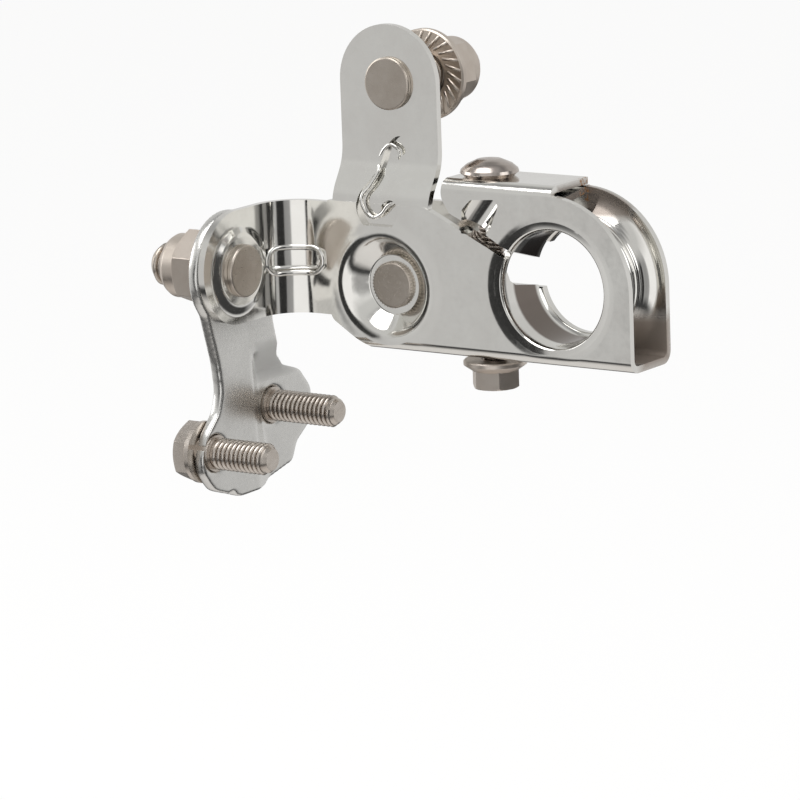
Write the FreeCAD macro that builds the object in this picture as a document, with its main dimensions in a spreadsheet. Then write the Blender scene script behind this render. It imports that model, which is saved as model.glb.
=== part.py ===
"""Battery terminal clamp: folded sheet clamp with three studs, a drop bracket and its fasteners.

Axes: the post bore runs along Y with its centre at the origin, X runs along the clamp towards
the open end of the channel, Z runs along the upright arm. All sizes are millimetres.
"""
import FreeCAD, Part
import math
import os

import Sketcher

os.makedirs("parts", exist_ok=True)
DOC = FreeCAD.newDocument("terminal_clamp")
V = FreeCAD.Vector

SIZES = {
    # folded channel
    "sheet_t": 1.3, "depth": 13.7, "web_z": -14.3, "bend_in": 1.2,
    "open_x": 16.6, "fold_x": -48.9, "back_x": -41.0, "back_top": 12.2,
    "arc_x": -0.5, "arc_r": 17.1,
    # jaw
    "flange_z": 18.75, "jaw_x0": -23.4, "jaw_x1": 0.2, "flange_reach": 0.7,
    "tuck_drop": 1.5, "tuck_gap": 0.25, "jaw_round": 3.2,
    # post bore
    "bore_back_r": 10.05, "bore_step": 0.45, "bore_rise": 0.62, "collar_t": 1.2,
    "collar_gap": 0.6, "funnel_r": 1.9, "funnel_land": 0.3,
    # clamp bolt and nut
    "bolt_x": -17.1, "bolt_r": 2.5, "bolt_hole_gap": 0.3, "bolt_head_r": 5.45, "bolt_head_h": 3.4,
    "bolt_seat_r": 4.5, "bolt_rim_h": 0.8, "neck_half": 2.5, "neck_gap": 0.2, "neck_h": 4.2,
    "bolt_low": -19.9, "clamp_nut_drop": 1.0, "clamp_nut_flange_r": 5.9, "clamp_nut_af": 8.0,
    "clamp_nut_h": 5.3, "clamp_nut_rim": 0.9, "thread_gap": 0.04,
    # upright arm
    "arm_x": -37.1, "arm_w": 21.4, "arm_z": 35.3, "arm_root": 9.0, "arm_stud_x": -36.8,
    "arm_stud_z": 35.1, "arm_jog": 4.0, "jog_z": 14.3, "jog_rise": 6.4, "jog_round": 9.0,
    # left arm and end plate
    "left_z": 2.25, "left_h": 21.3, "plate_x": -59.0, "plate_y": -21.6, "fold_r": 7.0,
    "left_root": -44.0, "boss_r": 8.8, "boss_top_r": 6.2, "boss_h": 1.0, "side_stud_z": 1.7,
    "rib_z": 1.9, "rib_half": 2.4, "rib_shift": 0.8, "rib_side": 1.3, "rib_round": 1.2,
    # centre dish
    "dish_x": -36.5, "dish_z": -2.3, "dish_r": 9.3, "dish_floor_r": 5.6, "dish_depth": 3.05,
    "dish_rim": 1.6,
    # studs: M8 on the arms, M6 in the dish
    "m8_r": 4.0, "stud_head_r": 4.9, "stud_head_h": 1.0, "collar_r": 6.0, "collar_h": 4.4,
    "arm_nut_gap": 5.8, "stud_tip": 0.7, "stub": 3.4, "m6_r": 3.0, "dish_head_r": 4.3,
    "dish_head_h": 0.9, "lug_gap": 3.0,
    # M8 and M6 flange nuts with locking ring
    "nut_flange_r": 8.6, "nut_rim": 1.3, "nut_cone": 1.6, "nut_af": 12.6, "nut_h": 11.1,
    "nut_hex_h": 7.4, "nut_neck_r": 6.0, "nut_dome": 1.4,
    "small_flange_r": 7.0, "small_af": 10.0, "small_h": 8.6, "small_hex_h": 5.7, "small_neck_r": 5.0,
    "ring_t": 1.0, "ring_h": 2.2, "ring_lip": 0.7, "ring_gap": 0.03,
    # drop bracket
    "bracket_t": 2.3, "bracket_r": 11.1, "recess": 2.5, "tip_x": -47.4, "swivel_gap": 0.06,
    "low_y": -29.1, "low_z": -31.5, "high_y": -7.5, "high_z": -26.7, "m6_tip": 0.6,
    "hex_af": 10.0, "hex_h": 4.0, "washer_r": 5.8, "washer_h": 1.2, "nick_r": 1.3,
    "nick_y": -24.6, "nick_z": -40.9, "press_side": 0.4, "press_land": 0.3,
    # pressed rib of the upright arm and pocket of the jaw
    "groove_half": 1.8, "groove_depth": 1.0, "ridge_h": 0.9, "ridge_side": 0.5,
    "pocket_depth": 2.35, "pocket_wall": 1.2, "pocket_r": 3.6,
}

# corner points of the sheet outlines, two coordinates each
OUTLINES = {
    "body": [(17.6, -15.3), (-40.9, -15.3), (-40.9, -14.1), (-48.9, -9.0), (-48.9, 13.2),
             (-27.0, 13.2), (-8.0, 4.05), (-8.0, 6.0), (-10.7, 7.3), (-14.8, 9.7), (-18.8, 11.3),
             (-21.6, 12.5), (-23.4, 15.2), (-23.4, 19.75), (17.6, 19.75)],
    "gap": [(-5.2, 6.1), (7.86, 2.5), (7.86, -2.3), (-2.3, -0.6), (-4.0, 0.4), (-5.2, 2.3)],
    "pocket": [(-19.2, 9.0), (-18.9, 13.4), (-17.0, 15.3), (-11.9, 15.7), (-10.9, 14.6),
               (-13.4, 9.0)],
    "notch": [(-20.4, -2.3), (-6.9, -2.3), (-6.9, 6.0), (-11.5, 7.2), (-20.4, 9.6)],
    "groove": [(-34.9, 23.6), (-36.7, 21.4), (-37.4, 19.0), (-38.7, 16.4), (-40.3, 13.9),
               (-40.3, 11.3), (-38.3, 9.6), (-36.0, 10.2), (-35.0, 12.2)],
    "strap": [(-32.7, 1.7), (-29.9, -5.9), (-27.2, -15.0), (-26.4, -20.5), (-27.6, -24.3),
              (-31.2, -27.6), (-33.2, -31.9), (-32.8, -35.0), (-29.9, -38.6), (-21.3, -41.4),
              (-12.0, -41.2), (-1.4, -38.8), (0.1, -35.4), (4.5, -32.4), (5.6, -25.9),
              (1.9, -21.5), (-3.2, -19.8), (-7.8, -16.3), (-9.4, -10.1), (-10.4, 1.7)],
    "crease": [(-17.0, -15.0), (-15.2, -45.0), (15.0, -45.0), (15.0, -14.0)],
    "floor": [(-12.6, -20.0), (-8.8, -45.0), (15.0, -45.0), (15.0, -18.6)],
}


RIBBON_STEPS = 24
POCKET_LEAN_DEG = 38


class Size:
    """A number together with the sheet formula that gives it."""

    def __init__(self, value, text):
        self.value = float(value)
        self.text = text

    def _join(self, other, sign, value):
        return Size(value, f"({self.text} {sign} {other.text})")

    def __add__(self, other):
        other = lift(other)
        return self._join(other, "+", self.value + other.value)

    def __sub__(self, other):
        other = lift(other)
        return self._join(other, "-", self.value - other.value)

    def __mul__(self, other):
        other = lift(other)
        return self._join(other, "*", self.value * other.value)

    def __truediv__(self, other):
        other = lift(other)
        return self._join(other, "/", self.value / other.value)

    def __neg__(self):
        return Size(-self.value, f"(0 - {self.text})")


def lift(value):
    """Give a plain number the same form as a sheet size."""
    return value if isinstance(value, Size) else Size(value, repr(float(value)))


def make_sheet():
    """Write every size and outline corner to the spreadsheet."""
    sheet = DOC.addObject("Spreadsheet::Sheet", "Sizes")
    values = dict(SIZES)
    for name, corners in OUTLINES.items():
        for index, corner in enumerate(corners):
            values[f"{name}_u{index}"] = corner[0]
            values[f"{name}_v{index}"] = corner[1]
    for row, (alias, value) in enumerate(values.items(), start=1):
        sheet.set(f"A{row}", alias)
        sheet.set(f"B{row}", str(value))
        sheet.setAlias(f"B{row}", alias)
    DOC.recompute()
    return sheet


SHEET = make_sheet()


def s(alias):
    """Size of one alias of the sheet."""
    return Size(getattr(SHEET, alias), f"Sizes.{alias}")


def corners(name):
    """Corner list of an outline as sizes."""
    return [(s(f"{name}_u{i}"), s(f"{name}_v{i}")) for i in range(len(OUTLINES[name]))]


def bind(obj, **props):
    """Bind properties of an object to sheet formulas."""
    for prop, value in props.items():
        obj.setExpression(prop, lift(value).text)
    return obj


def place(obj, x=0, y=0, z=0):
    """Bind the position of an object to sheet formulas."""
    for axis, value in zip("xyz", (x, y, z)):
        obj.setExpression(f"Placement.Base.{axis}", lift(value).text)
    return obj


TURN = {
    "XY": FreeCAD.Rotation(),
    "XZ": FreeCAD.Rotation(V(1, 0, 0), 90),
    "YZ": FreeCAD.Rotation(V(1, 1, 1), 120),
}
ALONG = {"X": V(1, 0, 0), "Y": V(0, 1, 0), "Z": V(0, 0, 1)}
LIE = {
    "Z": FreeCAD.Rotation(),
    "Y": FreeCAD.Rotation(V(1, 0, 0), -90),
    "X": FreeCAD.Rotation(V(0, 1, 0), 90),
}


def sketch(name, plane, points, at=(0, 0, 0)):
    """Closed polygon sketch whose corners follow the sheet."""
    obj = DOC.addObject("Sketcher::SketchObject", name)
    obj.Placement = FreeCAD.Placement(V(0, 0, 0), TURN[plane])
    place(obj, *at)
    points = [(lift(u), lift(v)) for u, v in points]
    count = len(points)
    spots = [V(u.value, v.value, 0) for u, v in points]
    for i in range(count):
        obj.addGeometry(Part.LineSegment(spots[i], spots[(i + 1) % count]), False)
    for i in range(count):
        obj.addConstraint(Sketcher.Constraint("Coincident", i, 2, (i + 1) % count, 1))
    for i, (u, v) in enumerate(points):
        for kind, value in (("DistanceX", u), ("DistanceY", v)):
            index = obj.addConstraint(Sketcher.Constraint(kind, -1, 1, i, 1, value.value))
            obj.setExpression(f"Constraints[{index}]", value.text)
    return obj


def extrude(name, base, axis, length):
    """Straight solid of a sketch along one axis."""
    obj = DOC.addObject("Part::Extrusion", name)
    obj.Base = base
    obj.DirMode = "Custom"
    obj.Dir = ALONG[axis]
    obj.Solid = True
    return bind(obj, LengthFwd=length)


def revolve(name, base, axis, at=(0, 0, 0)):
    """Full turn of a sketch about an axis through a point."""
    obj = DOC.addObject("Part::Revolution", name)
    obj.Source = base
    obj.Axis = ALONG[axis]
    obj.Angle = 360
    obj.Solid = True
    for key, value in zip("xyz", at):
        obj.setExpression(f"Base.{key}", lift(value).text)
    return obj


def turned(name, axis, profile, at):
    """Turned solid: the profile holds (radius, position along the axis) pairs."""
    if axis == "X":
        points = [(along, radius) for radius, along in profile]
        base = sketch(name + "_profile", "XY", points, (0, at[1], at[2]))
    elif axis == "Y":
        base = sketch(name + "_profile", "XY", profile, (at[0], 0, at[2]))
    else:
        base = sketch(name + "_profile", "XZ", profile, (at[0], at[1], 0))
    return revolve(name, base, axis, at)


def box(name, x, y, z):
    """Box between two limits on each axis."""
    obj = DOC.addObject("Part::Box", name)
    place(obj, x[0], y[0], z[0])
    return bind(obj, Length=lift(x[1]) - x[0], Width=lift(y[1]) - y[0], Height=lift(z[1]) - z[0])


def cylinder(name, axis, radius, start, length, at):
    """Cylinder along an axis, from a start position, through a point."""
    obj = DOC.addObject("Part::Cylinder", name)
    obj.Placement = FreeCAD.Placement(V(0, 0, 0), LIE[axis])
    spot = {"X": (start, at[1], at[2]), "Y": (at[0], start, at[2]), "Z": (at[0], at[1], start)}
    place(obj, *spot[axis])
    return bind(obj, Radius=radius, Height=length)


def fuse(name, *parts):
    """Union of solids."""
    obj = DOC.addObject("Part::MultiFuse", name)
    obj.Shapes = list(parts)
    return obj


def cut(name, base, *tools):
    """Base solid less one or more tools."""
    obj = DOC.addObject("Part::Cut", name)
    obj.Base = base
    obj.Tool = tools[0] if len(tools) == 1 else fuse(name + "_tools", *tools)
    return obj


def common(name, *parts):
    """Shared volume of solids."""
    obj = DOC.addObject("Part::MultiCommon", name)
    obj.Shapes = list(parts)
    return obj


def round_edges(name, base, chosen):
    """Fillet: each choice holds a test on the edge and a radius."""
    DOC.recompute()
    obj = DOC.addObject("Part::Fillet", name)
    obj.Base = base
    edges = []
    for test, radius in chosen:
        found = [i for i, e in enumerate(base.Shape.Edges, start=1) if test(e)]
        if not found:
            raise ValueError(f"{name}: no edge for radius {radius}")
        edges.extend((i, radius, radius) for i in found)
    obj.Edges = edges
    return obj


def line_at(axis, **where):
    """Test for a straight edge along an axis that passes given coordinates."""
    def test(edge):
        if edge.Curve.TypeId != "Part::GeomLine":
            return False
        ends = [v.Point for v in edge.Vertexes]
        if len(ends) != 2 or abs((ends[1] - ends[0]).normalize().dot(ALONG[axis])) < 0.999:
            return False
        return all(abs(getattr(p, k) - lift(v).value) < 0.01 for p in ends for k, v in where.items())
    return test


def ring_at(radius, **where):
    """Test for a circular edge of a radius whose centre has given coordinates."""
    def test(edge):
        if edge.Curve.TypeId != "Part::GeomCircle":
            return False
        if abs(edge.Curve.Radius - lift(radius).value) > 0.01:
            return False
        return all(abs(getattr(edge.Curve.Center, k) - lift(v).value) < 0.01
                   for k, v in where.items())
    return test


FRONT = -(s("depth") / 2)
BACK = s("depth") / 2
IN_FRONT = FRONT + s("sheet_t")
IN_BACK = BACK - s("sheet_t")
ARM_FACE = FRONT + s("arm_jog")
ARM_REAR = ARM_FACE + s("sheet_t")
END_REAR = s("plate_x") - s("sheet_t")
BOSS_FACE = s("plate_x") + s("boss_h")
STRAP_REAR = END_REAR - s("bracket_t")
ZERO = (0, 0, 0)
ARM_AXIS = (s("arm_stud_x"), 0, s("arm_stud_z"))
SIDE_AXIS = (0, s("plate_y"), s("side_stud_z"))
DISH_AXIS = (s("dish_x"), 0, s("dish_z"))
BOLT_AXIS = (s("bolt_x"), 0, 0)
LOW_AXIS = (0, s("low_y"), s("low_z"))
HIGH_AXIS = (0, s("high_y"), s("high_z"))


def channel():
    """Web, two side walls and the lapped top flanges, with bent corners."""
    x = (s("fold_x"), s("open_x"))
    shell = box("shell_block", x, (FRONT, BACK), (s("web_z"), s("flange_z")))
    outer = s("bend_in") + s("sheet_t")
    block = round_edges("shell_bent", shell, [
        (line_at("X", y=FRONT, z=s("web_z")), outer.value),
        (line_at("X", y=BACK, z=s("web_z")), outer.value),
        (line_at("X", y=FRONT, z=s("flange_z")), outer.value),
    ])
    top = s("flange_z") - s("sheet_t")
    low = s("web_z") + s("sheet_t")
    room = box("room_block", (x[0] - 1, x[1] + 1), (IN_FRONT, IN_BACK), (low, top))
    hollow = round_edges("room_bent", room, [
        (line_at("X", y=IN_FRONT, z=low), s("bend_in").value),
        (line_at("X", y=IN_BACK, z=low), s("bend_in").value),
        (line_at("X", y=IN_FRONT, z=top), s("bend_in").value),
    ])
    lap = BACK - s("flange_reach")
    tuck = top - s("tuck_gap")
    notch = box("lap_notch", (x[0] - 1, x[1] + 1), (lap, BACK + 1), (tuck, s("flange_z") + 1))
    slot = box("lap_slot", (x[0] - 1, x[1] + 1), (IN_FRONT + 1, BACK + 1), (tuck, top))
    return cut("channel", block, hollow, notch, slot)


def tucked_flange():
    """Flange of the back wall that slopes under the front one."""
    top = s("flange_z") - s("sheet_t") - s("tuck_gap")
    end = IN_FRONT + s("collar_gap")
    low = top - s("tuck_drop")
    points = [(BACK, top), (end, low), (end, low - s("sheet_t")), (IN_BACK, top - s("sheet_t")),
              (IN_BACK, top - s("sheet_t") - 2), (BACK, top - s("sheet_t") - 2)]
    flange = extrude("tuck_bar", sketch("tuck_profile", "YZ", points, (s("jaw_x0"), 0, 0)), "X",
                     s("jaw_x1") - s("jaw_x0"))
    return round_edges("tucked_flange", flange, [
        (line_at("X", y=BACK, z=top), s("bend_in").value + 0.6),
    ])


def sheet_outline(name):
    """Side outline of body and jaw with the slit between them."""
    wall = extrude(name + "_bar", sketch(name, "XZ", corners("body"), (0, FRONT - 1, 0)), "Y",
                   s("depth") + 2)
    return round_edges(name + "_round", wall, [
        (line_at("Y", x=s("body_u12"), z=s("body_v12")), s("jaw_round").value),
        (line_at("Y", x=s("body_u11"), z=s("body_v11")), 1.0),
        (line_at("Y", x=s("body_u2"), z=s("body_v2")), 1.5),
        (line_at("Y", x=s("body_u3"), z=s("body_v3")), 2.0),
    ])


def bore_profile():
    """Section of the drawn collar with its funnel corner."""
    rear = IN_BACK - s("collar_gap")
    inner = s("bore_back_r") + s("bore_rise")
    inner_rear = s("bore_back_r") + s("bore_step")
    land = inner + s("funnel_r") + s("funnel_land")
    wall = s("collar_t")
    return [(inner, FRONT), (land, FRONT), (land, IN_FRONT), (inner + wall, IN_FRONT),
            (inner_rear + wall, rear), (inner_rear, rear)]


def drawn_collar():
    """Collar drawn from the front wall through the channel."""
    ring = turned("collar_ring", "Y", bore_profile(), ZERO)
    inner = s("bore_back_r") + s("bore_rise")
    soft = round_edges("collar_soft", ring, [(ring_at(inner, y=FRONT), s("funnel_r").value)])
    return common("drawn_collar", soft, DOC.getObject("shell_bent"))


def rounded_corner():
    """Tool that rounds the open end about the post bore."""
    block = box("corner_block", (s("jaw_x1"), s("open_x") + 2), (FRONT - 1, BACK + 1),
                (0, s("flange_z") + 2))
    disc = cylinder("corner_disc", "Y", s("arc_r"), FRONT - 2, s("depth") + 4, (s("arc_x"), 0, 0))
    return cut("rounded_corner", block, disc)


def collar_gap_tool(name):
    """Gap of the collar at the slit."""
    bar = extrude(name + "_bar", sketch(name + "_side", "YZ", corners("gap"), (-16, 0, 0)), "X", 10)
    drum = cylinder(name + "_drum", "Y", s("bore_back_r") + 2.6, FRONT, s("depth") + 2, ZERO)
    return common(name, bar, drum)


def slit_collar(outline):
    """Drawn collar with its own gap, its flat rim slit like the front wall."""
    reach = s("bore_back_r") + s("bore_rise") + s("funnel_r") + 3
    slab = box("slit_slab", (-reach, reach), (FRONT - 0.5, IN_FRONT + 0.05), (-reach, reach))
    rim_slit = cut("rim_slit", slab, outline)
    return cut("slit_collar", drawn_collar(), rim_slit, collar_gap_tool("collar_gap_tool"))


def clamp_trough():
    """Channel with its outline, collar, slit and arc."""
    inner = s("bore_back_r") + s("bore_rise")
    land = inner + s("funnel_r") + s("funnel_land")
    window = cylinder("front_window", "Y", land, FRONT - 1, s("sheet_t") + 1.4, ZERO)
    rear_hole = cylinder("rear_hole", "Y", s("bore_back_r"), IN_BACK - 1,
                         s("sheet_t") + 2, ZERO)
    walls = cut("holed_channel", channel(), window, rear_hole)
    side = (s("fold_x") - 1, s("body_u5"))
    back_high = box("back_high", side, (IN_FRONT, BACK + 1), (s("back_top"), s("flange_z") + 1))
    back_left = box("back_left", (s("fold_x") - 1, s("back_x")), (IN_FRONT, BACK + 1),
                    (s("web_z") + s("sheet_t") + s("bend_in"), s("flange_z") + 1))
    back_slit = extrude("back_slit", sketch("back_slit_side", "XZ", corners("notch"),
                                            (0, IN_BACK - 0.1, 0)), "Y", s("sheet_t") + 1)
    shaped = common("shaped_trough", walls, sheet_outline("outline"))
    open_walls = cut("open_walls", shaped, collar_gap_tool("wall_gap_tool"), back_high, back_left,
                     back_slit)
    trough = fuse("trough", open_walls, slit_collar(sheet_outline("rim_outline")))
    return cut("clamp_trough", trough, rounded_corner())


def jog_points(offset):
    """Front or rear line of the jogged arm in the side view."""
    lean = math.atan2(s("arm_jog").value, s("jog_rise").value)
    bend = s("jog_z") - lift(offset) * math.tan(lean / 2)
    base = FRONT + offset
    return [(base, s("arm_root")), (base, bend),
            (base + s("arm_jog"), bend + s("jog_rise")),
            (base + s("arm_jog"), s("arm_z") + s("arm_w") / 2 + 1)]


def jog_bar(name, front, rear, side):
    """Jogged bar between two offsets of the sheet face."""
    points = jog_points(front) + list(reversed(jog_points(rear)))
    bar = extrude(name, sketch(name + "_profile", "YZ", points, (side[0], 0, 0)), "X",
                  side[1] - side[0])
    choice = []
    for offset, shift in ((front, s("jog_round")), (rear, s("jog_round"))):
        for corner in jog_points(offset)[1:3]:
            choice.append((line_at("X", y=corner[0], z=corner[1]), shift.value))
    return round_edges(name + "_bent", bar, choice)


def ribbon(name, line, half, start, depth):
    """Band of constant width about a smooth line in the side view, as a straight solid."""
    curve = Part.BSplineCurve()
    curve.interpolate([V(u.value, start, v.value) for u, v in line])
    first, last = curve.FirstParameter, curve.LastParameter
    sides = ([], [])
    for index in range(RIBBON_STEPS + 1):
        at = first + (last - first) * index / RIBBON_STEPS
        along = curve.tangent(at)[0]
        across = V(along.z, 0, -along.x) * half
        sides[0].append(curve.value(at) + across)
        sides[1].append(curve.value(at) - across)
    edges = []
    for side in sides:
        flank = Part.BSplineCurve()
        flank.interpolate(side)
        edges.append(flank.toShape())
    for at, sign, index in ((first, -1, 0), (last, 1, -1)):
        crown = curve.value(at) + curve.tangent(at)[0] * half * sign
        edges.append(Part.Arc(sides[0][index], crown, sides[1][index]).toShape())
    wire = Part.Wire(Part.__sortEdges__(edges))
    obj = DOC.addObject("Part::Feature", name)
    obj.Shape = Part.Face(wire).extrude(V(0, depth, 0))
    return obj


def arm_side():
    """Left and right limits of the upright arm."""
    half = s("arm_w") / 2
    return s("arm_x") - half, s("arm_x") + half


def upright_arm():
    """Jogged arm with a round top and the stud hole."""
    side = arm_side()
    half = s("arm_w") / 2
    bar = jog_bar("arm_bar", 0, s("sheet_t"), side)
    post = box("arm_post", side, (FRONT - 9, BACK + 9), (s("arm_root"), s("arm_z")))
    disc = cylinder("arm_disc", "Y", half, FRONT - 9, s("depth") + 18, (s("arm_x"), 0, s("arm_z")))
    shaped = common("arm_shaped", bar, fuse("arm_outline", post, disc))
    hole = cylinder("arm_hole", "Y", s("m8_r"), ARM_FACE - 1, s("sheet_t") + 2, ARM_AXIS)
    return cut("upright_arm", shaped, hole)


def add_pressed_rib(sheet):
    """Rib pressed across the jog: raised behind the sheet, hollow in front."""
    side = arm_side()
    half = s("groove_half").value
    start = FRONT.value - 1
    reach = s("depth").value
    line = corners("groove")
    rear = s("sheet_t") + s("ridge_h")
    skin = jog_bar("ridge_skin", s("sheet_t") - 0.1, rear, side)
    ridge = ribbon("ridge_band", line[:6], half + s("ridge_side").value, start, reach)
    raised = fuse("ribbed_sheet", sheet, common("ridge", skin, ridge))
    hollow = jog_bar("groove_skin", -0.5, s("groove_depth"), side)
    band = ribbon("groove_band", line, half, start, reach)
    return cut("pressed_sheet", raised, common("groove_room", hollow, band))


def fold_block(name, face, x_end, radius, z):
    """Square block behind a sheet face of the folded left arm, with the bend rounded."""
    block = box(name, (face[0], x_end), (s("plate_y") - 20, face[1]), z)
    return round_edges(name + "_bent", block, [(line_at("Z", x=face[0], y=face[1]), radius.value)])


def left_arm():
    """Left arm bent towards the end plate, with the pressed rib across the bend."""
    half = s("left_h") / 2
    z = (s("left_z") - half, s("left_z") + half)
    root = s("left_root")
    outer = fold_block("fold_outer", (END_REAR, IN_FRONT), root, s("fold_r") + s("sheet_t"), z)
    inner = fold_block("fold_inner", (s("plate_x"), FRONT), root + 1, s("fold_r"),
                       (z[0] - 1, z[1] + 1))
    centre = (s("plate_x") + s("fold_r") - s("rib_shift"), FRONT - s("fold_r") + s("rib_shift"), 0)
    hump = cylinder("rib_hump", "Z", s("fold_r") + s("sheet_t"), s("rib_z") - s("rib_half")
                    - s("rib_side"), (s("rib_half") + s("rib_side")) * 2, centre)
    dent = cylinder("rib_dent", "Z", s("fold_r"), s("rib_z") - s("rib_half"),
                    s("rib_half") * 2, centre)
    soft = round_edges("rib_soft", dent, [(ring_at(s("fold_r")), s("rib_round").value)])
    disc = cylinder("end_disc", "X", half, END_REAR, s("fold_r"), (0, s("plate_y"), s("left_z")))
    reach = box("end_reach", (END_REAR, root), (s("plate_y"), IN_FRONT + 3), z)
    sheet = cut("left_sheet", fuse("left_humped", outer, hump), inner, soft)
    shaped = common("left_shaped", sheet, fuse("left_outline", disc, reach))
    boss = turned("boss", "X", [(0, BOSS_FACE), (s("boss_top_r"), BOSS_FACE),
                                (s("boss_r"), s("plate_x")), (0, s("plate_x"))], SIDE_AXIS)
    hollow = turned("boss_hollow", "X", [
        (0, END_REAR + s("boss_h")), (s("boss_top_r") - s("collar_t"), END_REAR + s("boss_h")),
        (s("boss_r") - s("collar_t"), END_REAR), (s("boss_r") - s("collar_t"), END_REAR - 1),
        (0, END_REAR - 1)], SIDE_AXIS)
    hole = cylinder("side_hole", "X", s("m8_r"), END_REAR - 1, s("sheet_t") + 4, SIDE_AXIS)
    return cut("left_arm", fuse("left_bossed", shaped, boss), hollow, hole)


def centre_dish():
    """Dish pressed into the front wall around the centre stud."""
    floor = FRONT + s("dish_depth")
    rear = floor + s("sheet_t")
    grow = s("sheet_t") * 0.45
    land = s("dish_r") + s("dish_rim")
    points = [(0, floor), (s("dish_floor_r"), floor), (s("dish_r"), FRONT), (land, FRONT),
              (land, IN_FRONT), (s("dish_r") + grow, IN_FRONT),
              (s("dish_floor_r") + grow, rear), (0, rear)]
    bowl = turned("bowl", "Y", points, DISH_AXIS)
    width = (s("dish_r") - s("dish_floor_r")).value
    turn = math.atan2(s("dish_depth").value, width)
    shoulder = s("dish_rim").value * 0.9 / math.tan(turn / 2)
    return round_edges("centre_dish", bowl, [
        (ring_at(s("dish_r"), y=FRONT), shoulder),
        (ring_at(s("dish_floor_r"), y=floor), 0.5),
    ])


def jaw_pocket():
    """Pocket pressed into the jaw beside the bolt: the bump behind and the recess in front."""
    points = corners("pocket")
    mid = (s("pocket_u0") + s("pocket_u3")) / 2, (s("pocket_v0") + s("pocket_v3")) / 2
    wall = s("pocket_wall")
    grown = []
    for u, v in points:
        span = math.hypot(u.value - mid[0].value, v.value - mid[1].value)
        grown.append((u + (u - mid[0]) / span * wall, v + (v - mid[1]) / span * wall))
    bump = extrude("pocket_bump", sketch("pocket_outer", "XZ", grown, (0, FRONT + 0.2, 0)), "Y",
                   s("sheet_t") + s("pocket_depth") - 0.2)
    recess = extrude("pocket_recess", sketch("pocket_inner", "XZ", points, (0, FRONT - 1, 0)), "Y",
                     s("pocket_depth") + 1)
    soft = []
    for index in (1, 2, 3, 4):
        u, v = points[index]
        soft.append((line_at("Y", x=u, z=v), 1.0))
    rounded = round_edges("pocket_soft", recess, soft)
    return bump, common("pocket_tool", rounded, pocket_trough(mid))


def pocket_trough(mid):
    """Leaning round bar that gives the pocket its curved floor."""
    obj = DOC.addObject("Part::Cylinder", "pocket_trough")
    length = s("pocket_r") * 6
    lean = FreeCAD.Rotation(V(0, 1, 0), POCKET_LEAN_DEG)
    along = lean.multVec(V(0, 0, 1))
    obj.Placement = FreeCAD.Placement(V(0, 0, 0), lean)
    depth = FRONT + s("pocket_depth") - s("pocket_r")
    place(obj, mid[0] - length / 2 * along.x, depth, mid[1] - length / 2 * along.z)
    return bind(obj, Radius=s("pocket_r"), Height=length)


def clamp_body():
    """The folded sheet: channel, jaw, arm, left arm and dish in one piece."""
    bump, pocket = jaw_pocket()
    dish_hole = cylinder("dish_window", "Y", s("dish_r") + s("dish_rim"), FRONT - 1,
                         s("sheet_t") + 1.4, DISH_AXIS)
    keep = common("bump_kept", bump, extrude(
        "bump_mask", sketch("bump_outline", "XZ", corners("body"), (0, FRONT - 1, 0)), "Y",
        s("depth")))
    trough = cut("trough_windowed", clamp_trough(), dish_hole)
    tuck = common("tuck_kept", tucked_flange(), extrude(
        "tuck_mask", sketch("tuck_outline", "XZ", corners("body"), (0, FRONT - 1, 0)), "Y",
        s("depth") + 2))
    side_window = cylinder("side_window", "Y", s("dish_r") + s("dish_rim"), FRONT - 1,
                           s("sheet_t") + 1.4, DISH_AXIS)
    left = cut("left_windowed", left_arm(), side_window)
    whole = trough
    for index, piece in enumerate((centre_dish(), tuck, keep, upright_arm(), left)):
        whole = fuse(f"sheet_stage{index}", whole, piece)
    whole = add_pressed_rib(whole)
    high = s("flange_z") + 1
    neck = s("neck_half") + s("neck_gap")
    low_flange = s("flange_z") - s("sheet_t") * 2 - s("tuck_drop") - s("tuck_gap") - 1
    neck_hole = box("neck_hole", (s("bolt_x") - neck, s("bolt_x") + neck), (-neck, neck),
                    (low_flange, high))
    web_hole = cylinder("web_hole", "Z", s("bolt_r") + s("bolt_hole_gap"), s("web_z") - 1,
                        s("sheet_t") + 2, BOLT_AXIS)
    stud_hole = cylinder("dish_hole", "Y", s("m6_r"), FRONT, s("dish_depth") + s("sheet_t") + 1,
                         DISH_AXIS)
    pass_hole = cylinder("pass_hole", "Y", s("m6_r") + 0.35, IN_BACK - 1, s("sheet_t") + 2,
                         DISH_AXIS)
    return cut("clamp_body", whole, pocket, neck_hole, web_hole, stud_hole, pass_hole)


def clamp_bolt():
    """Domed bolt with a square neck through the jaw and the web."""
    top = s("flange_z")
    crown = top + s("bolt_head_h")
    rim = top + s("bolt_rim_h")
    tip = s("stud_tip")
    profile = [(0, crown), (s("bolt_head_r") * 0.42, crown - s("bolt_head_h") * 0.08),
               (s("bolt_head_r") * 0.78, crown - s("bolt_head_h") * 0.34),
               (s("bolt_head_r") * 0.97, rim + 0.55), (s("bolt_head_r"), rim),
               (s("bolt_seat_r"), top), (s("bolt_r"), top),
               (s("bolt_r"), s("bolt_low") + tip), (s("bolt_r") - tip, s("bolt_low")),
               (0, s("bolt_low"))]
    body = turned("bolt_turned", "Z", profile, BOLT_AXIS)
    half = s("neck_half")
    neck = box("bolt_neck", (s("bolt_x") - half, s("bolt_x") + half), (-half, half),
               (top - s("neck_h"), top))
    return fuse("clamp_bolt", body, neck)


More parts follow.
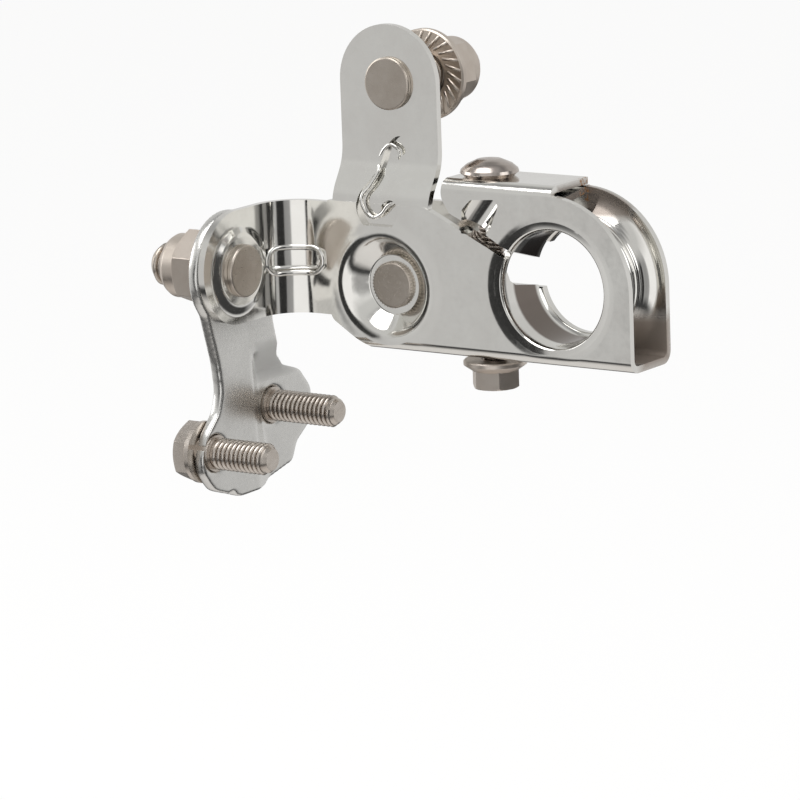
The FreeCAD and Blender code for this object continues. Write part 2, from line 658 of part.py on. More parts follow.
def hexagon(name, axis, across, start, length, at, turn):
    """Hexagonal bar along an axis."""
    obj = DOC.addObject("Part::Prism", name)
    obj.Polygon = 6
    spin = FreeCAD.Rotation(V(0, 0, 1), turn)
    obj.Placement = FreeCAD.Placement(V(0, 0, 0), LIE[axis].multiply(spin))
    spot = {"X": (start, at[1], at[2]), "Y": (at[0], start, at[2]), "Z": (at[0], at[1], start)}
    place(obj, *spot[axis])
    return bind(obj, Circumradius=lift(across) / math.sqrt(3), Height=length)


def step(origin, sign, distance):
    """Position at a distance from an origin along or against an axis."""
    return origin + distance if sign > 0 else origin - distance


def flange_nut(name, axis, at, seat, sign, kind, turn):
    """Flange nut with hexagon, round neck and a pocket for the locking ring."""
    flange, across, height, hex_h, neck_r, thread = kind

    def up(distance):
        return step(seat, sign, lift(distance))
    corner = lift(across) / math.sqrt(3)
    rim, cone = s("nut_rim"), s("nut_cone")
    shape = [(0, up(0)), (flange - 0.3, up(0)), (flange, up(0.3)), (flange, up(rim)),
             (corner * 0.93, up(rim + cone)), (corner * 0.93, up(rim)), (0, up(rim))]
    skirt = turned(name + "_skirt", axis, shape, at)
    limit = [(0, up(0.2)), (corner + 0.2, up(0.2)), (corner + 0.2, up(hex_h - 0.9)),
             (neck_r, up(hex_h)), (0, up(hex_h))]
    start = seat if sign > 0 else seat - height
    bar = hexagon(name + "_bar", axis, across, start, height, at, turn)
    hexed = common(name + "_hex", bar, turned(name + "_limit", axis, limit, at))
    dome = s("nut_dome")
    neck = turned(name + "_neck", axis, [
        (0, up(1)), (neck_r, up(1)), (neck_r, up(height - dome)),
        (neck_r - dome * 0.35, up(height - dome * 0.4)), (neck_r - dome, up(height)),
        (0, up(height))], at)
    bore = thread + s("thread_gap")
    pocket_r = bore + s("ring_t")
    pocket = turned(name + "_room", axis, [
        (0, up(-1)), (bore + 0.5, up(-1)), (bore + 0.5, up(0)), (bore, up(0.5)),
        (bore, up(height - s("ring_lip") - s("ring_h"))),
        (pocket_r, up(height - s("ring_lip") - s("ring_h"))), (pocket_r, up(height - s("ring_lip"))),
        (bore + 0.25, up(height - s("ring_lip"))), (bore + 0.25, up(height + 1)),
        (0, up(height + 1))], at)
    nut = cut(name, fuse(name + "_solid", skirt, hexed, neck), pocket)
    ring_in = up(height - s("ring_lip") - s("ring_h"))
    ring_out = up(height - s("ring_lip"))
    ring = turned(name + "_ring", axis, [
        (bore, ring_in), (pocket_r, ring_in), (pocket_r, ring_out), (bore, ring_out)], at)
    return nut, ring


def clamp_nut():
    """Small flange nut on the clamp bolt."""
    seat = s("web_z") - s("clamp_nut_drop")
    flange, rim = s("clamp_nut_flange_r"), s("clamp_nut_rim")
    corner = s("clamp_nut_af") / math.sqrt(3)
    shape = [(0, seat), (flange - 0.25, seat), (flange, seat - 0.25), (flange, seat - rim),
             (corner * 0.94, seat - rim - 1.1), (0, seat - rim - 1.1)]
    skirt = turned("clamp_nut_skirt", "Z", shape, BOLT_AXIS)
    low = seat - s("clamp_nut_h")
    bar = hexagon("clamp_nut_bar", "Z", s("clamp_nut_af"), low, s("clamp_nut_h"), BOLT_AXIS, 11)
    limit = turned("clamp_nut_limit", "Z", [
        (0, seat), (corner + 0.2, seat), (corner + 0.2, low + 0.5), (corner * 0.88, low),
        (0, low)], BOLT_AXIS)
    solid = fuse("clamp_nut_solid", skirt, common("clamp_nut_hex", bar, limit))
    hole = cylinder("clamp_nut_hole", "Z", s("bolt_r") + s("thread_gap"), low - 1,
                    s("clamp_nut_h") + 2, BOLT_AXIS)
    return cut("clamp_nut", solid, hole)


def arm_stud():
    """Riveted stud of the upright arm with its shoulder and M8 thread."""
    head = ARM_FACE - s("stud_head_h")
    shoulder = ARM_REAR + s("collar_h")
    end = shoulder + s("arm_nut_gap") + s("nut_h") + s("lug_gap")
    tip = s("stud_tip")
    return turned("arm_stud", "Y", [
        (0, head), (s("stud_head_r") - 0.2, head), (s("stud_head_r"), head + 0.2),
        (s("stud_head_r"), ARM_FACE), (s("m8_r"), ARM_FACE), (s("m8_r"), ARM_REAR),
        (s("collar_r"), ARM_REAR), (s("collar_r"), shoulder), (s("m8_r"), shoulder),
        (s("m8_r"), end - tip), (s("m8_r") - tip, end), (0, end)], ARM_AXIS)


def side_stud():
    """Stud of the end plate, pointing away from the clamp."""
    head = BOSS_FACE + s("stud_head_h")
    end = STRAP_REAR - s("nut_h") - s("stub")
    tip = s("stud_tip")
    return turned("side_stud", "X", [
        (0, head), (s("stud_head_r") - 0.2, head), (s("stud_head_r"), head - 0.2),
        (s("stud_head_r"), BOSS_FACE), (s("m8_r"), BOSS_FACE), (s("m8_r"), end + tip),
        (s("m8_r") - tip, end), (0, end)], SIDE_AXIS)


def centre_stud():
    """M6 stud pressed into the dish, through the back wall."""
    floor = FRONT + s("dish_depth")
    head = floor - s("dish_head_h")
    end = BACK + s("small_h") + s("lug_gap")
    tip = s("stud_tip")
    return turned("centre_stud", "Y", [
        (0, head), (s("dish_head_r") - 0.25, head), (s("dish_head_r"), head + 0.25),
        (s("dish_head_r"), floor), (s("m6_r"), floor), (s("m6_r"), end - tip),
        (s("m6_r") - tip, end), (0, end)], DISH_AXIS)


def strap_outline():
    """Side outline of the drop bracket with its round upper end."""
    bar = extrude("strap_bar", sketch("strap", "YZ", corners("strap"),
                                      (STRAP_REAR - s("recess") - 1, 0, 0)), "X",
                  s("bracket_t") + s("recess") + 2)
    radii = {1: 9, 2: 14, 3: 5, 4: 5, 5: 4, 6: 3.2, 7: 3, 8: 4, 9: 5, 10: 6, 11: 1.6, 12: 2.6,
             13: 2.2, 14: 3.4, 15: 3.2, 16: 2.6, 17: 4, 18: 8}
    points = corners("strap")
    chosen = [(line_at("X", y=points[i][0], z=points[i][1]), r) for i, r in radii.items()]
    soft = round_edges("strap_soft", bar, chosen)
    disc = cylinder("strap_disc", "X", s("bracket_r"), STRAP_REAR - s("recess") - 1,
                    s("bracket_t") + s("recess") + 2, SIDE_AXIS)
    return fuse("strap_outline", soft, disc)


def press_tool(name, face, depth):
    """Straight-walled shape between the crease outline and the recessed floor outline."""
    loft = DOC.addObject("Part::Loft", name)
    top = sketch(name + "_top", "YZ", corners("crease"), (face, 0, 0))
    low = sketch(name + "_low", "YZ", corners("floor"), (face - depth, 0, 0))
    loft.Sections = [top, low]
    loft.Solid = True
    loft.Ruled = True
    return loft


def drop_bracket():
    """Bracket that hangs from the side stud, its lower corner pressed back."""
    plate = box("strap_plate", (STRAP_REAR, END_REAR), (-45, 15), (-50, 20))
    rear = press_tool("press_rear", STRAP_REAR, s("recess"))
    front = press_tool("press_front", END_REAR, s("recess"))
    pressed = cut("strap_pressed", fuse("strap_backed", plate, rear), front)
    shaped = common("strap_shaped", pressed, strap_outline())
    hole = cylinder("swivel_hole", "X", s("m8_r") + s("swivel_gap"), STRAP_REAR - 1,
                    s("bracket_t") + 2, SIDE_AXIS)
    press = s("m6_r") + s("press_side")
    low = cylinder("low_hole", "X", press, STRAP_REAR - 4, 8, LOW_AXIS)
    high = cylinder("high_hole", "X", press, STRAP_REAR - 4, 8, HIGH_AXIS)
    nick = cylinder("nick", "X", s("nick_r"), END_REAR - 1.0, 2, (0, s("nick_y"), s("nick_z")))
    return cut("drop_bracket", shaped, hole, low, high, nick)


def bracket_bolt(name, at, seat):
    """Hexagon bolt pressed through the bracket, thread towards the clamp."""
    end = s("tip_x")
    tip = s("m6_tip")
    washer = seat - s("washer_h")
    back = seat - s("hex_h")
    corner = s("hex_af") / math.sqrt(3)
    land = seat + s("bracket_t") + s("press_land")
    press = s("m6_r") + s("press_side")
    shank = turned(name + "_shank", "X", [
        (0, end), (s("m6_r") - tip, end), (s("m6_r"), end - tip), (s("m6_r"), land),
        (press, land), (press, seat),
        (s("washer_r"), seat), (s("washer_r"), washer + 0.3), (s("washer_r") - 0.3, washer),
        (0, washer)], at)
    bar = hexagon(name + "_bar", "X", s("hex_af"), back, s("hex_h") - s("washer_h") + 0.2, at, 2)
    limit = turned(name + "_limit", "X", [
        (0, seat), (corner + 0.2, seat), (corner + 0.2, back + 0.6), (corner * 0.86, back),
        (0, back)], at)
    return fuse(name, shank, common(name + "_hex", bar, limit))


def build():
    """Build all pieces and give each its file name."""
    large = (s("nut_flange_r"), s("nut_af"), s("nut_h"), s("nut_hex_h"), s("nut_neck_r"), s("m8_r"))
    small = (s("small_flange_r"), s("small_af"), s("small_h"), s("small_hex_h"), s("small_neck_r"),
             s("m6_r"))
    arm_seat = ARM_REAR + s("collar_h") + s("arm_nut_gap")
    arm_nut, arm_ring = flange_nut("arm_nut", "Y", ARM_AXIS, arm_seat, 1, large, 12)
    side_nut, side_ring = flange_nut("side_nut", "X", SIDE_AXIS, STRAP_REAR, -1, large, 8)
    centre_nut, centre_ring = flange_nut("centre_nut", "Y", DISH_AXIS, BACK, 1, small, 0)
    return {
        "clamp_body": clamp_body(),
        "clamp_bolt": clamp_bolt(),
        "clamp_nut": clamp_nut(),
        "arm_stud": arm_stud(),
        "arm_nut": arm_nut,
        "arm_nut_ring": arm_ring,
        "centre_stud": centre_stud(),
        "centre_nut": centre_nut,
        "centre_nut_ring": centre_ring,
        "side_stud": side_stud(),
        "side_nut": side_nut,
        "side_nut_ring": side_ring,
        "drop_bracket": drop_bracket(),
        "lower_bolt": bracket_bolt("lower_bolt", LOW_AXIS, STRAP_REAR),
        "upper_bolt": bracket_bolt("upper_bolt", HIGH_AXIS, STRAP_REAR - s("recess")),
    }


def write_parts(nodes):
    """Check every object, then write one file for each piece."""
    DOC.recompute()
    for obj in DOC.Objects:
        if "Invalid" in obj.State or "Error" in obj.State:
            raise ValueError(f"{obj.Name} did not build")
    for name, obj in nodes.items():
        shape = obj.Shape
        if shape.isNull() or not shape.isValid():
            raise ValueError(f"{name} has no valid solid")
        if len(shape.Solids) != 1:
            raise ValueError(f"{name} has {len(shape.Solids)} solids")
        obj.Label = name
        shape.exportStep(f"parts/{name}.step")


write_parts(build())
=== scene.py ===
"""Looks of the battery terminal clamp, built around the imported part.

The clamp's own sizes are in millimetres and become metres by MM; the studio's are in metres.
The post bore runs along Y through the origin, X runs along the clamp and Z up its arm.
"""
import logging
import math
from dataclasses import dataclass
from enum import Enum
from typing import Any, Sequence

import bmesh
import bpy
from mathutils import Matrix, Vector


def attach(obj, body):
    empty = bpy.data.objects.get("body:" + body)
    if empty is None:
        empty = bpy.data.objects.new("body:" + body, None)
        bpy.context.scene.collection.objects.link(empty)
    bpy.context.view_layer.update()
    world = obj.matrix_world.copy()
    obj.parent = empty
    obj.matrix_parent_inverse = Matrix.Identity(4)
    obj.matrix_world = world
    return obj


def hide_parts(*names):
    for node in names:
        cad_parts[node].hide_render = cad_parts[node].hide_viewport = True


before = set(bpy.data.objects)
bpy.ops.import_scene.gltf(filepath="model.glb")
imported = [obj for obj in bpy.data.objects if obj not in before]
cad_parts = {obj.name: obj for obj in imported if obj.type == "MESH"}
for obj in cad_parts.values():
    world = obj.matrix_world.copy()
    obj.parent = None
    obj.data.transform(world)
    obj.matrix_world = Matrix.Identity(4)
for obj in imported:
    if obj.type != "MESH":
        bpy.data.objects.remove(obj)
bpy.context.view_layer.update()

Point = tuple[float, float, float]

LOG = logging.getLogger("terminal_clamp")
MM = 0.001

# Axes of the round pieces. The number along the axis itself is not used.
ARM_AXIS = (-36.8, 0.0, 35.1)
SIDE_AXIS = (0.0, -21.6, 1.7)
DISH_AXIS = (-36.5, 0.0, -2.3)
JAW_AXIS = (-17.1, 0.0, 0.0)
LOW_AXIS = (0.0, -29.1, -31.5)
HIGH_AXIS = (0.0, -7.5, -26.7)

# Front face of the front wall and inner face of the back wall.
FRONT_Y = -6.85
WALL_Y = 5.55
# Bend of the left arm: its radius on the hollow side, its axis in X and Y, and how deep the
# centre line of the raised rim is sunk in the sheet.
BEND_R = 7.0
BEND_AXIS = (-52.0, FRONT_Y - BEND_R)
RIM_SUNK = 0.3

# Tolerances of the mesh work, in millimetres and degrees.
WELD_MM = 0.002
FLAT_DEG = 0.05
STEP_MM = 0.01
SLACK_MM = 0.02

# Parts of a noise's range over which a pattern changes. A narrow part gives hard edges.
PATCH_SPAN = (0.35, 0.65)
GRAIN_SPAN = (0.3, 0.7)
SPECK_SPAN = (0.46, 0.58)
# Roughness that a fully matt zone adds.
MATT_ROUGH = 0.5

# What the metal mirrors around the clamp: brightness by the angle in degrees from -Y to +X.
BANDS = ((-180, 0.7), (-70, 0.72), (-48, 0.64), (-31, 0.58), (-29, 0.04), (-8, 0.03), (-4, 1.0),
         (39, 1.0), (42, 0.36), (59, 0.3), (62, 0.03), (84, 0.03), (86, 0.5), (94, 0.45),
         (97, 0.05), (126, 0.08), (138, 0.7), (165, 0.75), (180, 0.7))
BAND_CAST = (1.0, 0.995, 0.985)
# What it mirrors below and above: colour from straight down at 0 to straight up at 1.
HEIGHTS = ((0.0, (0.8, 0.78, 0.76)), (0.12, (0.7, 0.68, 0.66)), (0.2, (0.05, 0.05, 0.05)),
           (0.3, (0.05, 0.05, 0.05)), (0.7, (0.64, 0.64, 0.63)), (0.85, (0.62, 0.62, 0.61)),
           (0.93, (0.25, 0.25, 0.25)), (1.0, (0.6, 0.6, 0.6)))
# Share of those heights against the bands, over the same way up.
HEIGHT_SHARES = ((0.24, 1.0), (0.31, 0.0), (0.6, 0.0), (0.75, 1.0))
# Brightness of the surround where it lights the clamp without being mirrored.
SOFT_LIGHT = 0.75


def srgb(code: str) -> tuple[float, float, float, float]:
    """Turn an sRGB hex colour into the linear colour that shaders take.

    Args:
        code: Colour such as "#BEBBB6".

    Returns:
        Linear red, green and blue with an alpha of 1.
    """
    parts = [int(code[i:i + 2], 16) / 255 for i in (1, 3, 5)]
    linear = [c / 12.92 if c <= 0.04045 else ((c + 0.055) / 1.055) ** 2.4 for c in parts]
    return linear[0], linear[1], linear[2], 1.0


def grey(value: float) -> tuple[float, float, float, float]:
    """Give the linear grey of a brightness."""
    return value, value, value, 1.0


def add_node(tree: bpy.types.NodeTree, kind: str, settings: dict[str, Any] | None = None,
             inputs: dict[str | int, Any] | None = None) -> bpy.types.Node:
    """Add one node with its settings and its linked or constant inputs.

    Args:
        tree: Tree that takes the node.
        kind: Blender's identifier of the node.
        settings: Attributes of the node.
        inputs: Values by socket name or number; an output socket is linked.

    Returns:
        The new node.
    """
    node = tree.nodes.new(kind)
    for name, value in (settings or {}).items():
        setattr(node, name, value)
    for name, value in (inputs or {}).items():
        if isinstance(value, bpy.types.NodeSocket):
            tree.links.new(value, node.inputs[name])
        else:
            node.inputs[name].default_value = value
    return node


def set_ramp(node: bpy.types.Node, stops: Sequence[tuple[float, tuple[float, ...]]]) -> None:
    """Give a colour ramp its stops.

    Args:
        node: The colour ramp node.
        stops: Position and linear colour of each stop, in rising order.
    """
    elements = node.color_ramp.elements
    while len(elements) > 1:
        elements.remove(elements[-1])
    elements[0].position, elements[0].color = stops[0]
    for position, colour in stops[1:]:
        elements.new(position).color = colour


def blank_material(name: str) -> bpy.types.Material:
    """Make a material with an empty node tree.

    Args:
        name: Name of the material.

    Returns:
        The new material.
    """
    made = bpy.data.materials.new(name)
    made.use_nodes = True
    made.node_tree.nodes.clear()
    return made


def distance_from_y(tree: bpy.types.NodeTree,
                    place: bpy.types.NodeSocket) -> bpy.types.NodeSocket:
    """Measure the distance from a line along Y.

    Args:
        tree: Material tree that takes the nodes.
        place: Position, counted from a point of the line.

    Returns:
        Socket with the distance.
    """
    flat = add_node(tree, "ShaderNodeVectorMath", {"operation": "MULTIPLY"}, {
        0: place, 1: (1.0, 0.0, 1.0)})
    return add_node(tree, "ShaderNodeVectorMath", {"operation": "LENGTH"}, {
        0: flat.outputs["Vector"]}).outputs["Value"]


@dataclass(frozen=True)
class StainAndPaintedLightZone:
    """Box of a surface that carries a stain, painted light or painted shade, in millimetres.

    About the bore, the first number of a corner is the distance from the bore's axis.
    """

    low: Point
    high: Point
    tint: str
    share: float
    soft_mm: float
    about_bore: bool = False
    matt: float = 0.0
    speck_mm: float = 0.0

    def mask(self, tree: bpy.types.NodeTree) -> bpy.types.NodeSocket:
        """Build the mask of the zone, broken into specks where the zone has a speck size.

        Args:
            tree: Material tree that takes the nodes.

        Returns:
            Socket that is `share` inside the box and falls to 0 around it.
        """
        inside = self.soft_box(tree, self.place(tree))
        if not self.speck_mm:
            return inside
        blots = add_node(tree, "ShaderNodeTexNoise", {}, {
            "Vector": add_node(tree, "ShaderNodeTexCoord").outputs["Object"],
            "Scale": 1 / (self.speck_mm * MM), "Detail": 4.0})
        specks = add_node(tree, "ShaderNodeMapRange", {}, {
            "Value": blots.outputs["Fac"], "From Min": SPECK_SPAN[0], "From Max": SPECK_SPAN[1]})
        return add_node(tree, "ShaderNodeMath", {"operation": "MULTIPLY"}, {
            0: inside, 1: specks.outputs["Result"]}).outputs[0]

    def place(self, tree: bpy.types.NodeTree) -> bpy.types.NodeSocket:
        """Give the position that the box is measured by.

        Args:
            tree: Material tree that takes the nodes.

        Returns:
            Object coordinates, or the distance from the bore's axis and the way along it.
        """
        place = add_node(tree, "ShaderNodeTexCoord").outputs["Object"]
        if not self.about_bore:
            return place
        axes = add_node(tree, "ShaderNodeSeparateXYZ", {}, {0: place})
        return add_node(tree, "ShaderNodeCombineXYZ", {}, {
            "X": distance_from_y(tree, place), "Y": axes.outputs["Y"]}).outputs[0]

    def soft_box(self, tree: bpy.types.NodeTree,
                 place: bpy.types.NodeSocket) -> bpy.types.NodeSocket:
        """Build the box with its soft rim.

        Args:
            tree: Material tree that takes the nodes.
            place: Position that the box is measured by.

        Returns:
            Socket that is `share` inside the box and 0 past its rim.
        """
        middle = [(a + b) / 2 * MM for a, b in zip(self.low, self.high)]
        half = [(b - a) / 2 * MM for a, b in zip(self.low, self.high)]
        counted = add_node(tree, "ShaderNodeVectorMath", {"operation": "SUBTRACT"}, {
            0: place, 1: middle})
        size = add_node(tree, "ShaderNodeVectorMath", {"operation": "ABSOLUTE"}, {
            0: counted.outputs["Vector"]})
        past = add_node(tree, "ShaderNodeVectorMath", {"operation": "SUBTRACT"}, {
            0: size.outputs["Vector"], 1: half})
        parts = add_node(tree, "ShaderNodeSeparateXYZ", {}, {0: past.outputs["Vector"]})
        wide = add_node(tree, "ShaderNodeMath", {"operation": "MAXIMUM"}, {
            0: parts.outputs["X"], 1: parts.outputs["Y"]})
        most = add_node(tree, "ShaderNodeMath", {"operation": "MAXIMUM"}, {
            0: wide.outputs[0], 1: parts.outputs["Z"]})
        return add_node(tree, "ShaderNodeMapRange", {}, {
            "Value": most.outputs[0], "From Min": 0.0, "From Max": self.soft_mm * MM,
            "To Min": self.share, "To Max": 0.0}).outputs["Result"]


@dataclass(frozen=True)
class Dip:
    """Shallow hollow that the press leaves around a formed feature of the front wall."""

    at: Point
    inner_mm: float
    outer_mm: float
    depth_mm: float

    def height(self, tree: bpy.types.NodeTree) -> bpy.types.NodeSocket:
        """Build the height of the hollow, in metres.

        Args:
            tree: Material tree that takes the nodes.

        Returns:
            Socket that rises from the hollow's rim inside to the level sheet outside.
        """
        place = add_node(tree, "ShaderNodeTexCoord").outputs["Object"]
        counted = add_node(tree, "ShaderNodeVectorMath", {"operation": "SUBTRACT"}, {
            0: place, 1: [v * MM for v in self.at]})
        return add_node(tree, "ShaderNodeMapRange", {"interpolation_type": "SMOOTHSTEP"}, {
            "Value": distance_from_y(tree, counted.outputs["Vector"]),
            "From Min": self.inner_mm * MM, "From Max": self.outer_mm * MM,
            "To Max": self.depth_mm * MM}).outputs["Result"]


@dataclass(frozen=True)
class MetalFinish:
    """Plated steel: two tones, a sheen that varies, a fine grain and slow waves.

    `smooth` and `rough` are the ends of its roughness. Only the pressed sheet has waves.
    """

    name: str
    light: str
    dark: str
    smooth: float
    rough: float
    patch_mm: float
    grain_mm: float
    grain_height_mm: float
    wave_mm: float = 6.0
    wave_height_mm: float = 0.0
    zones: tuple[StainAndPaintedLightZone, ...] = ()
    dips: tuple[Dip, ...] = ()

    def material(self) -> bpy.types.Material:
        """Build the material on Object coordinates.

        Returns:
            The new material.
        """
        made = blank_material(self.name)
        tree = made.node_tree
        place = add_node(tree, "ShaderNodeTexCoord").outputs["Object"]
        grain = add_node(tree, "ShaderNodeTexNoise", {}, {
            "Vector": place, "Scale": 1 / (self.grain_mm * MM), "Detail": 3.0}).outputs["Fac"]
        sheen = add_node(tree, "ShaderNodeMapRange", {}, {
            "Value": grain, "From Min": GRAIN_SPAN[0], "From Max": GRAIN_SPAN[1],
            "To Min": self.smooth, "To Max": self.rough}).outputs["Result"]
        colour, rough, metal = self.stains_and_painted_light(tree, self.tone(tree, place), sheen)
        shader = add_node(tree, "ShaderNodeBsdfPrincipled", {}, {
            "Base Color": colour, "Metallic": metal, "Roughness": rough,
            "Normal": self.relief(tree, place, grain)})
        add_node(tree, "ShaderNodeOutputMaterial", {}, {"Surface": shader.outputs["BSDF"]})
        return made

    def tone(self, tree: bpy.types.NodeTree, place: bpy.types.NodeSocket) -> bpy.types.NodeSocket:
        """Mix the two tones in soft patches.

        Args:
            tree: Material tree that takes the nodes.
            place: Object coordinates.

        Returns:
            Socket with the colour of the plate.
        """
        patches = add_node(tree, "ShaderNodeTexNoise", {}, {
            "Vector": place, "Scale": 1 / (self.patch_mm * MM), "Detail": 4.0, "Roughness": 0.6})
        tone = add_node(tree, "ShaderNodeValToRGB", {}, {"Fac": patches.outputs["Fac"]})
        set_ramp(tone, list(zip(PATCH_SPAN, (srgb(self.dark), srgb(self.light)))))
        return tone.outputs["Color"]

    def stains_and_painted_light(self, tree: bpy.types.NodeTree, colour: bpy.types.NodeSocket,
                rough: bpy.types.NodeSocket) -> tuple[Any, Any, Any]:
        """Lay the zones of stains, painted light and painted shade over the plate.

        Args:
            tree: Material tree that takes the nodes.
            colour: Colour of the clean plate.
            rough: Roughness of the clean plate.

        Returns:
            Colour, roughness and metallic; the last is a number where no zone is matt.
        """
        metal = 1.0
        for zone in self.zones:
            mask = zone.mask(tree)
            colour = add_node(tree, "ShaderNodeMix", {"data_type": "RGBA"}, {
                "Factor": mask, "A": colour, "B": srgb(zone.tint)}).outputs["Result"]
            if zone.matt:
                rough = add_node(tree, "ShaderNodeMath", {"operation": "MULTIPLY_ADD"}, {
                    0: mask, 1: zone.matt * MATT_ROUGH, 2: rough}).outputs[0]
                metal = add_node(tree, "ShaderNodeMath", {"operation": "MULTIPLY_ADD"}, {
                    0: mask, 1: -zone.matt, 2: metal}).outputs[0]
        return colour, rough, metal

    def relief(self, tree: bpy.types.NodeTree, place: bpy.types.NodeSocket,
               grain: bpy.types.NodeSocket) -> bpy.types.NodeSocket:
        """Stack the slow waves, the dips and the fine grain.

        Args:
            tree: Material tree that takes the nodes.
            place: Object coordinates.
            grain: Height of the fine grain, from 0 to 1.

        Returns:
            Socket with the bumped normal.
        """
        waves = add_node(tree, "ShaderNodeTexNoise", {}, {
            "Vector": place, "Scale": 1 / (self.wave_mm * MM), "Detail": 1.0})
        facing = add_node(tree, "ShaderNodeBump", {}, {
            "Height": waves.outputs["Fac"], "Distance": self.wave_height_mm * MM,
            "Strength": 1.0}).outputs["Normal"]
        for dip in self.dips:
            facing = add_node(tree, "ShaderNodeBump", {}, {
                "Height": dip.height(tree), "Distance": 1.0, "Strength": 1.0,
                "Normal": facing}).outputs["Normal"]
        return add_node(tree, "ShaderNodeBump", {}, {
            "Height": grain, "Distance": self.grain_height_mm * MM, "Strength": 1.0,
            "Normal": facing}).outputs["Normal"]


@dataclass(frozen=True)
class RingFinish:
    """Nylon of a locking ring: matt, faintly mottled."""

    name: str
    light: str
    dark: str
    mottle_mm: float

    def material(self) -> bpy.types.Material:
        """Build the material on Object coordinates.

        Returns:
            The new material.
        """
        made = blank_material(self.name)
        tree = made.node_tree
        place = add_node(tree, "ShaderNodeTexCoord")
        mottle = add_node(tree, "ShaderNodeTexNoise", {}, {
            "Vector": place.outputs["Object"], "Scale": 1 / (self.mottle_mm * MM),
            "Detail": 3.0})
        tone = add_node(tree, "ShaderNodeValToRGB", {}, {"Fac": mottle.outputs["Fac"]})
        set_ramp(tone, list(zip(GRAIN_SPAN, (srgb(self.dark), srgb(self.light)))))
        shader = add_node(tree, "ShaderNodeBsdfPrincipled", {}, {
            "Base Color": tone.outputs["Color"], "Roughness": 0.45, "IOR": 1.53})
        add_node(tree, "ShaderNodeOutputMaterial", {}, {"Surface": shader.outputs["BSDF"]})
        return made


# Painted shade: dark brown inside the collar, where the inside of the bore lies in shade.
COLLAR_PAINTED_SHADE = StainAndPaintedLightZone((0, -2.6, -1), (10.85, 3.6, 1), "#57463B", share=0.85, soft_mm=0.7,
                         about_bore=True)
# Inside of the channel at its open end: the dull plate's brown-grey, made matt as painted light
# that is lighter than the dark mirror there.
CHANNEL_DULL_AND_PAINTED_LIGHT = StainAndPaintedLightZone((9, -1.8, -13.05), (17, 5.65, -7), "#8B7C70", share=0.85, soft_mm=3.0,
                          matt=0.6)
# Inner face of the back wall, beside the lap: the dull plate's brown, made matt as painted light
# that is lighter than the dark mirror there.
WALL_DULL_AND_PAINTED_LIGHT = StainAndPaintedLightZone((0.5, -3, 12.5), (9, 5.65, 17.4), "#7A6A5E", share=0.8, soft_mm=1.5,
                      matt=0.4)
# Brown specks on the sheared edge of the lap.
EDGE_STAIN = StainAndPaintedLightZone((-0.1, 3.5, 14.5), (0.6, 6.6, 18.9), "#9A6E42", share=0.9, soft_mm=0.3,
                       matt=0.6, speck_mm=0.55)
# Dull patch of the bracket, above its upper bolt.
BRACKET_STAIN = StainAndPaintedLightZone((-70, -14, -20), (-55, -1, -15), "#C4C4C2", share=0.85, soft_mm=2.0,
                          matt=0.7)
FUNNEL_DIP = Dip((-0.2, 0, -0.2), 11.6, 13.7, 0.13)
DISH_DIP = Dip(DISH_AXIS, 10.4, 12.9, 0.08)


class Finish(Enum):
    """Finishes of the clamp, one for each kind of plated or moulded surface."""

    # Nickel plate on pressed steel: a mirror that the press has left slightly uneven, with painted
    # shade in dark brown inside the collar, painted light on the dull, matt inside and back wall,
    # and brown stains on a sheared edge.
    SHEET = MetalFinish("bright_nickel_pressed_sheet", "#ECEBE7", "#E7E5E1", 0.08, 0.13, 9.0, 0.9,
                        0.001, wave_height_mm=0.05,
                        zones=(COLLAR_PAINTED_SHADE, CHANNEL_DULL_AND_PAINTED_LIGHT, WALL_DULL_AND_PAINTED_LIGHT, EDGE_STAIN),
                        dips=(FUNNEL_DIP, DISH_DIP))
    # Turned stud: satin, warm from the thin plate.
    STUD = MetalFinish("satin_turned_stud", "#CBC2B8", "#C1B7AC", 0.26, 0.38, 3.0, 0.35, 0.003)
    # Cold-formed flange nut with locking ring: beige satin plate.
    NUT = MetalFinish("satin_formed_nut", "#D8CEC4", "#D0C5BA", 0.3, 0.38, 4.0, 0.4, 0.001)
    # Clamp bolt: brighter plate with a rose cast.
    BOLT = MetalFinish("rose_plated_bolt", "#C6BDB6", "#BAB0A9", 0.14, 0.24, 3.0, 0.4, 0.0008)
    # Clamp nut: barrel plate, satin and beige.
    HEX = MetalFinish("satin_barrel_hex", "#DCD3CA", "#D5CBC1", 0.36, 0.44, 5.0, 0.5, 0.0006)
    # Bracket: tumbled before plating, so it is dull and even.
    BRACKET = MetalFinish("tumbled_nickel_bracket", "#E0DFDC", "#DBDAD7", 0.24, 0.3, 6.0, 0.5,
                          0.0004, zones=(BRACKET_STAIN,))
    # Bracket bolts, heads and rolled threads alike: satin plate.
    THREAD = MetalFinish("rolled_thread_steel", "#D3CBC3", "#C9C0B7", 0.22, 0.32, 2.5, 0.4,
                         0.0008)
    # Locking rings: undyed nylon, moulded, so they are matt and a little yellow.
    RING = RingFinish("natural_nylon_ring", "#C9BDAF", "#BDB0A2", 1.11)


MATERIALS: dict[Finish, bpy.types.Material] = {}


def material_of(finish: Finish) -> bpy.types.Material:
    """Give the material of a finish, built once.

    Args:
        finish: The finish.

    Returns:
        Its material.
    """
    if finish not in MATERIALS:
        MATERIALS[finish] = finish.value.material()
    return MATERIALS[finish]


def new_object(name: str, mesh: bpy.types.Mesh) -> bpy.types.Object:
    """Link a mesh to the scene as an object at the origin.

    Args:
        name: Name of the object.
        mesh: Its mesh.

    Returns:
        The new object.
    """
    made = bpy.data.objects.new(name, mesh)
    bpy.context.scene.collection.objects.link(made)
    return made


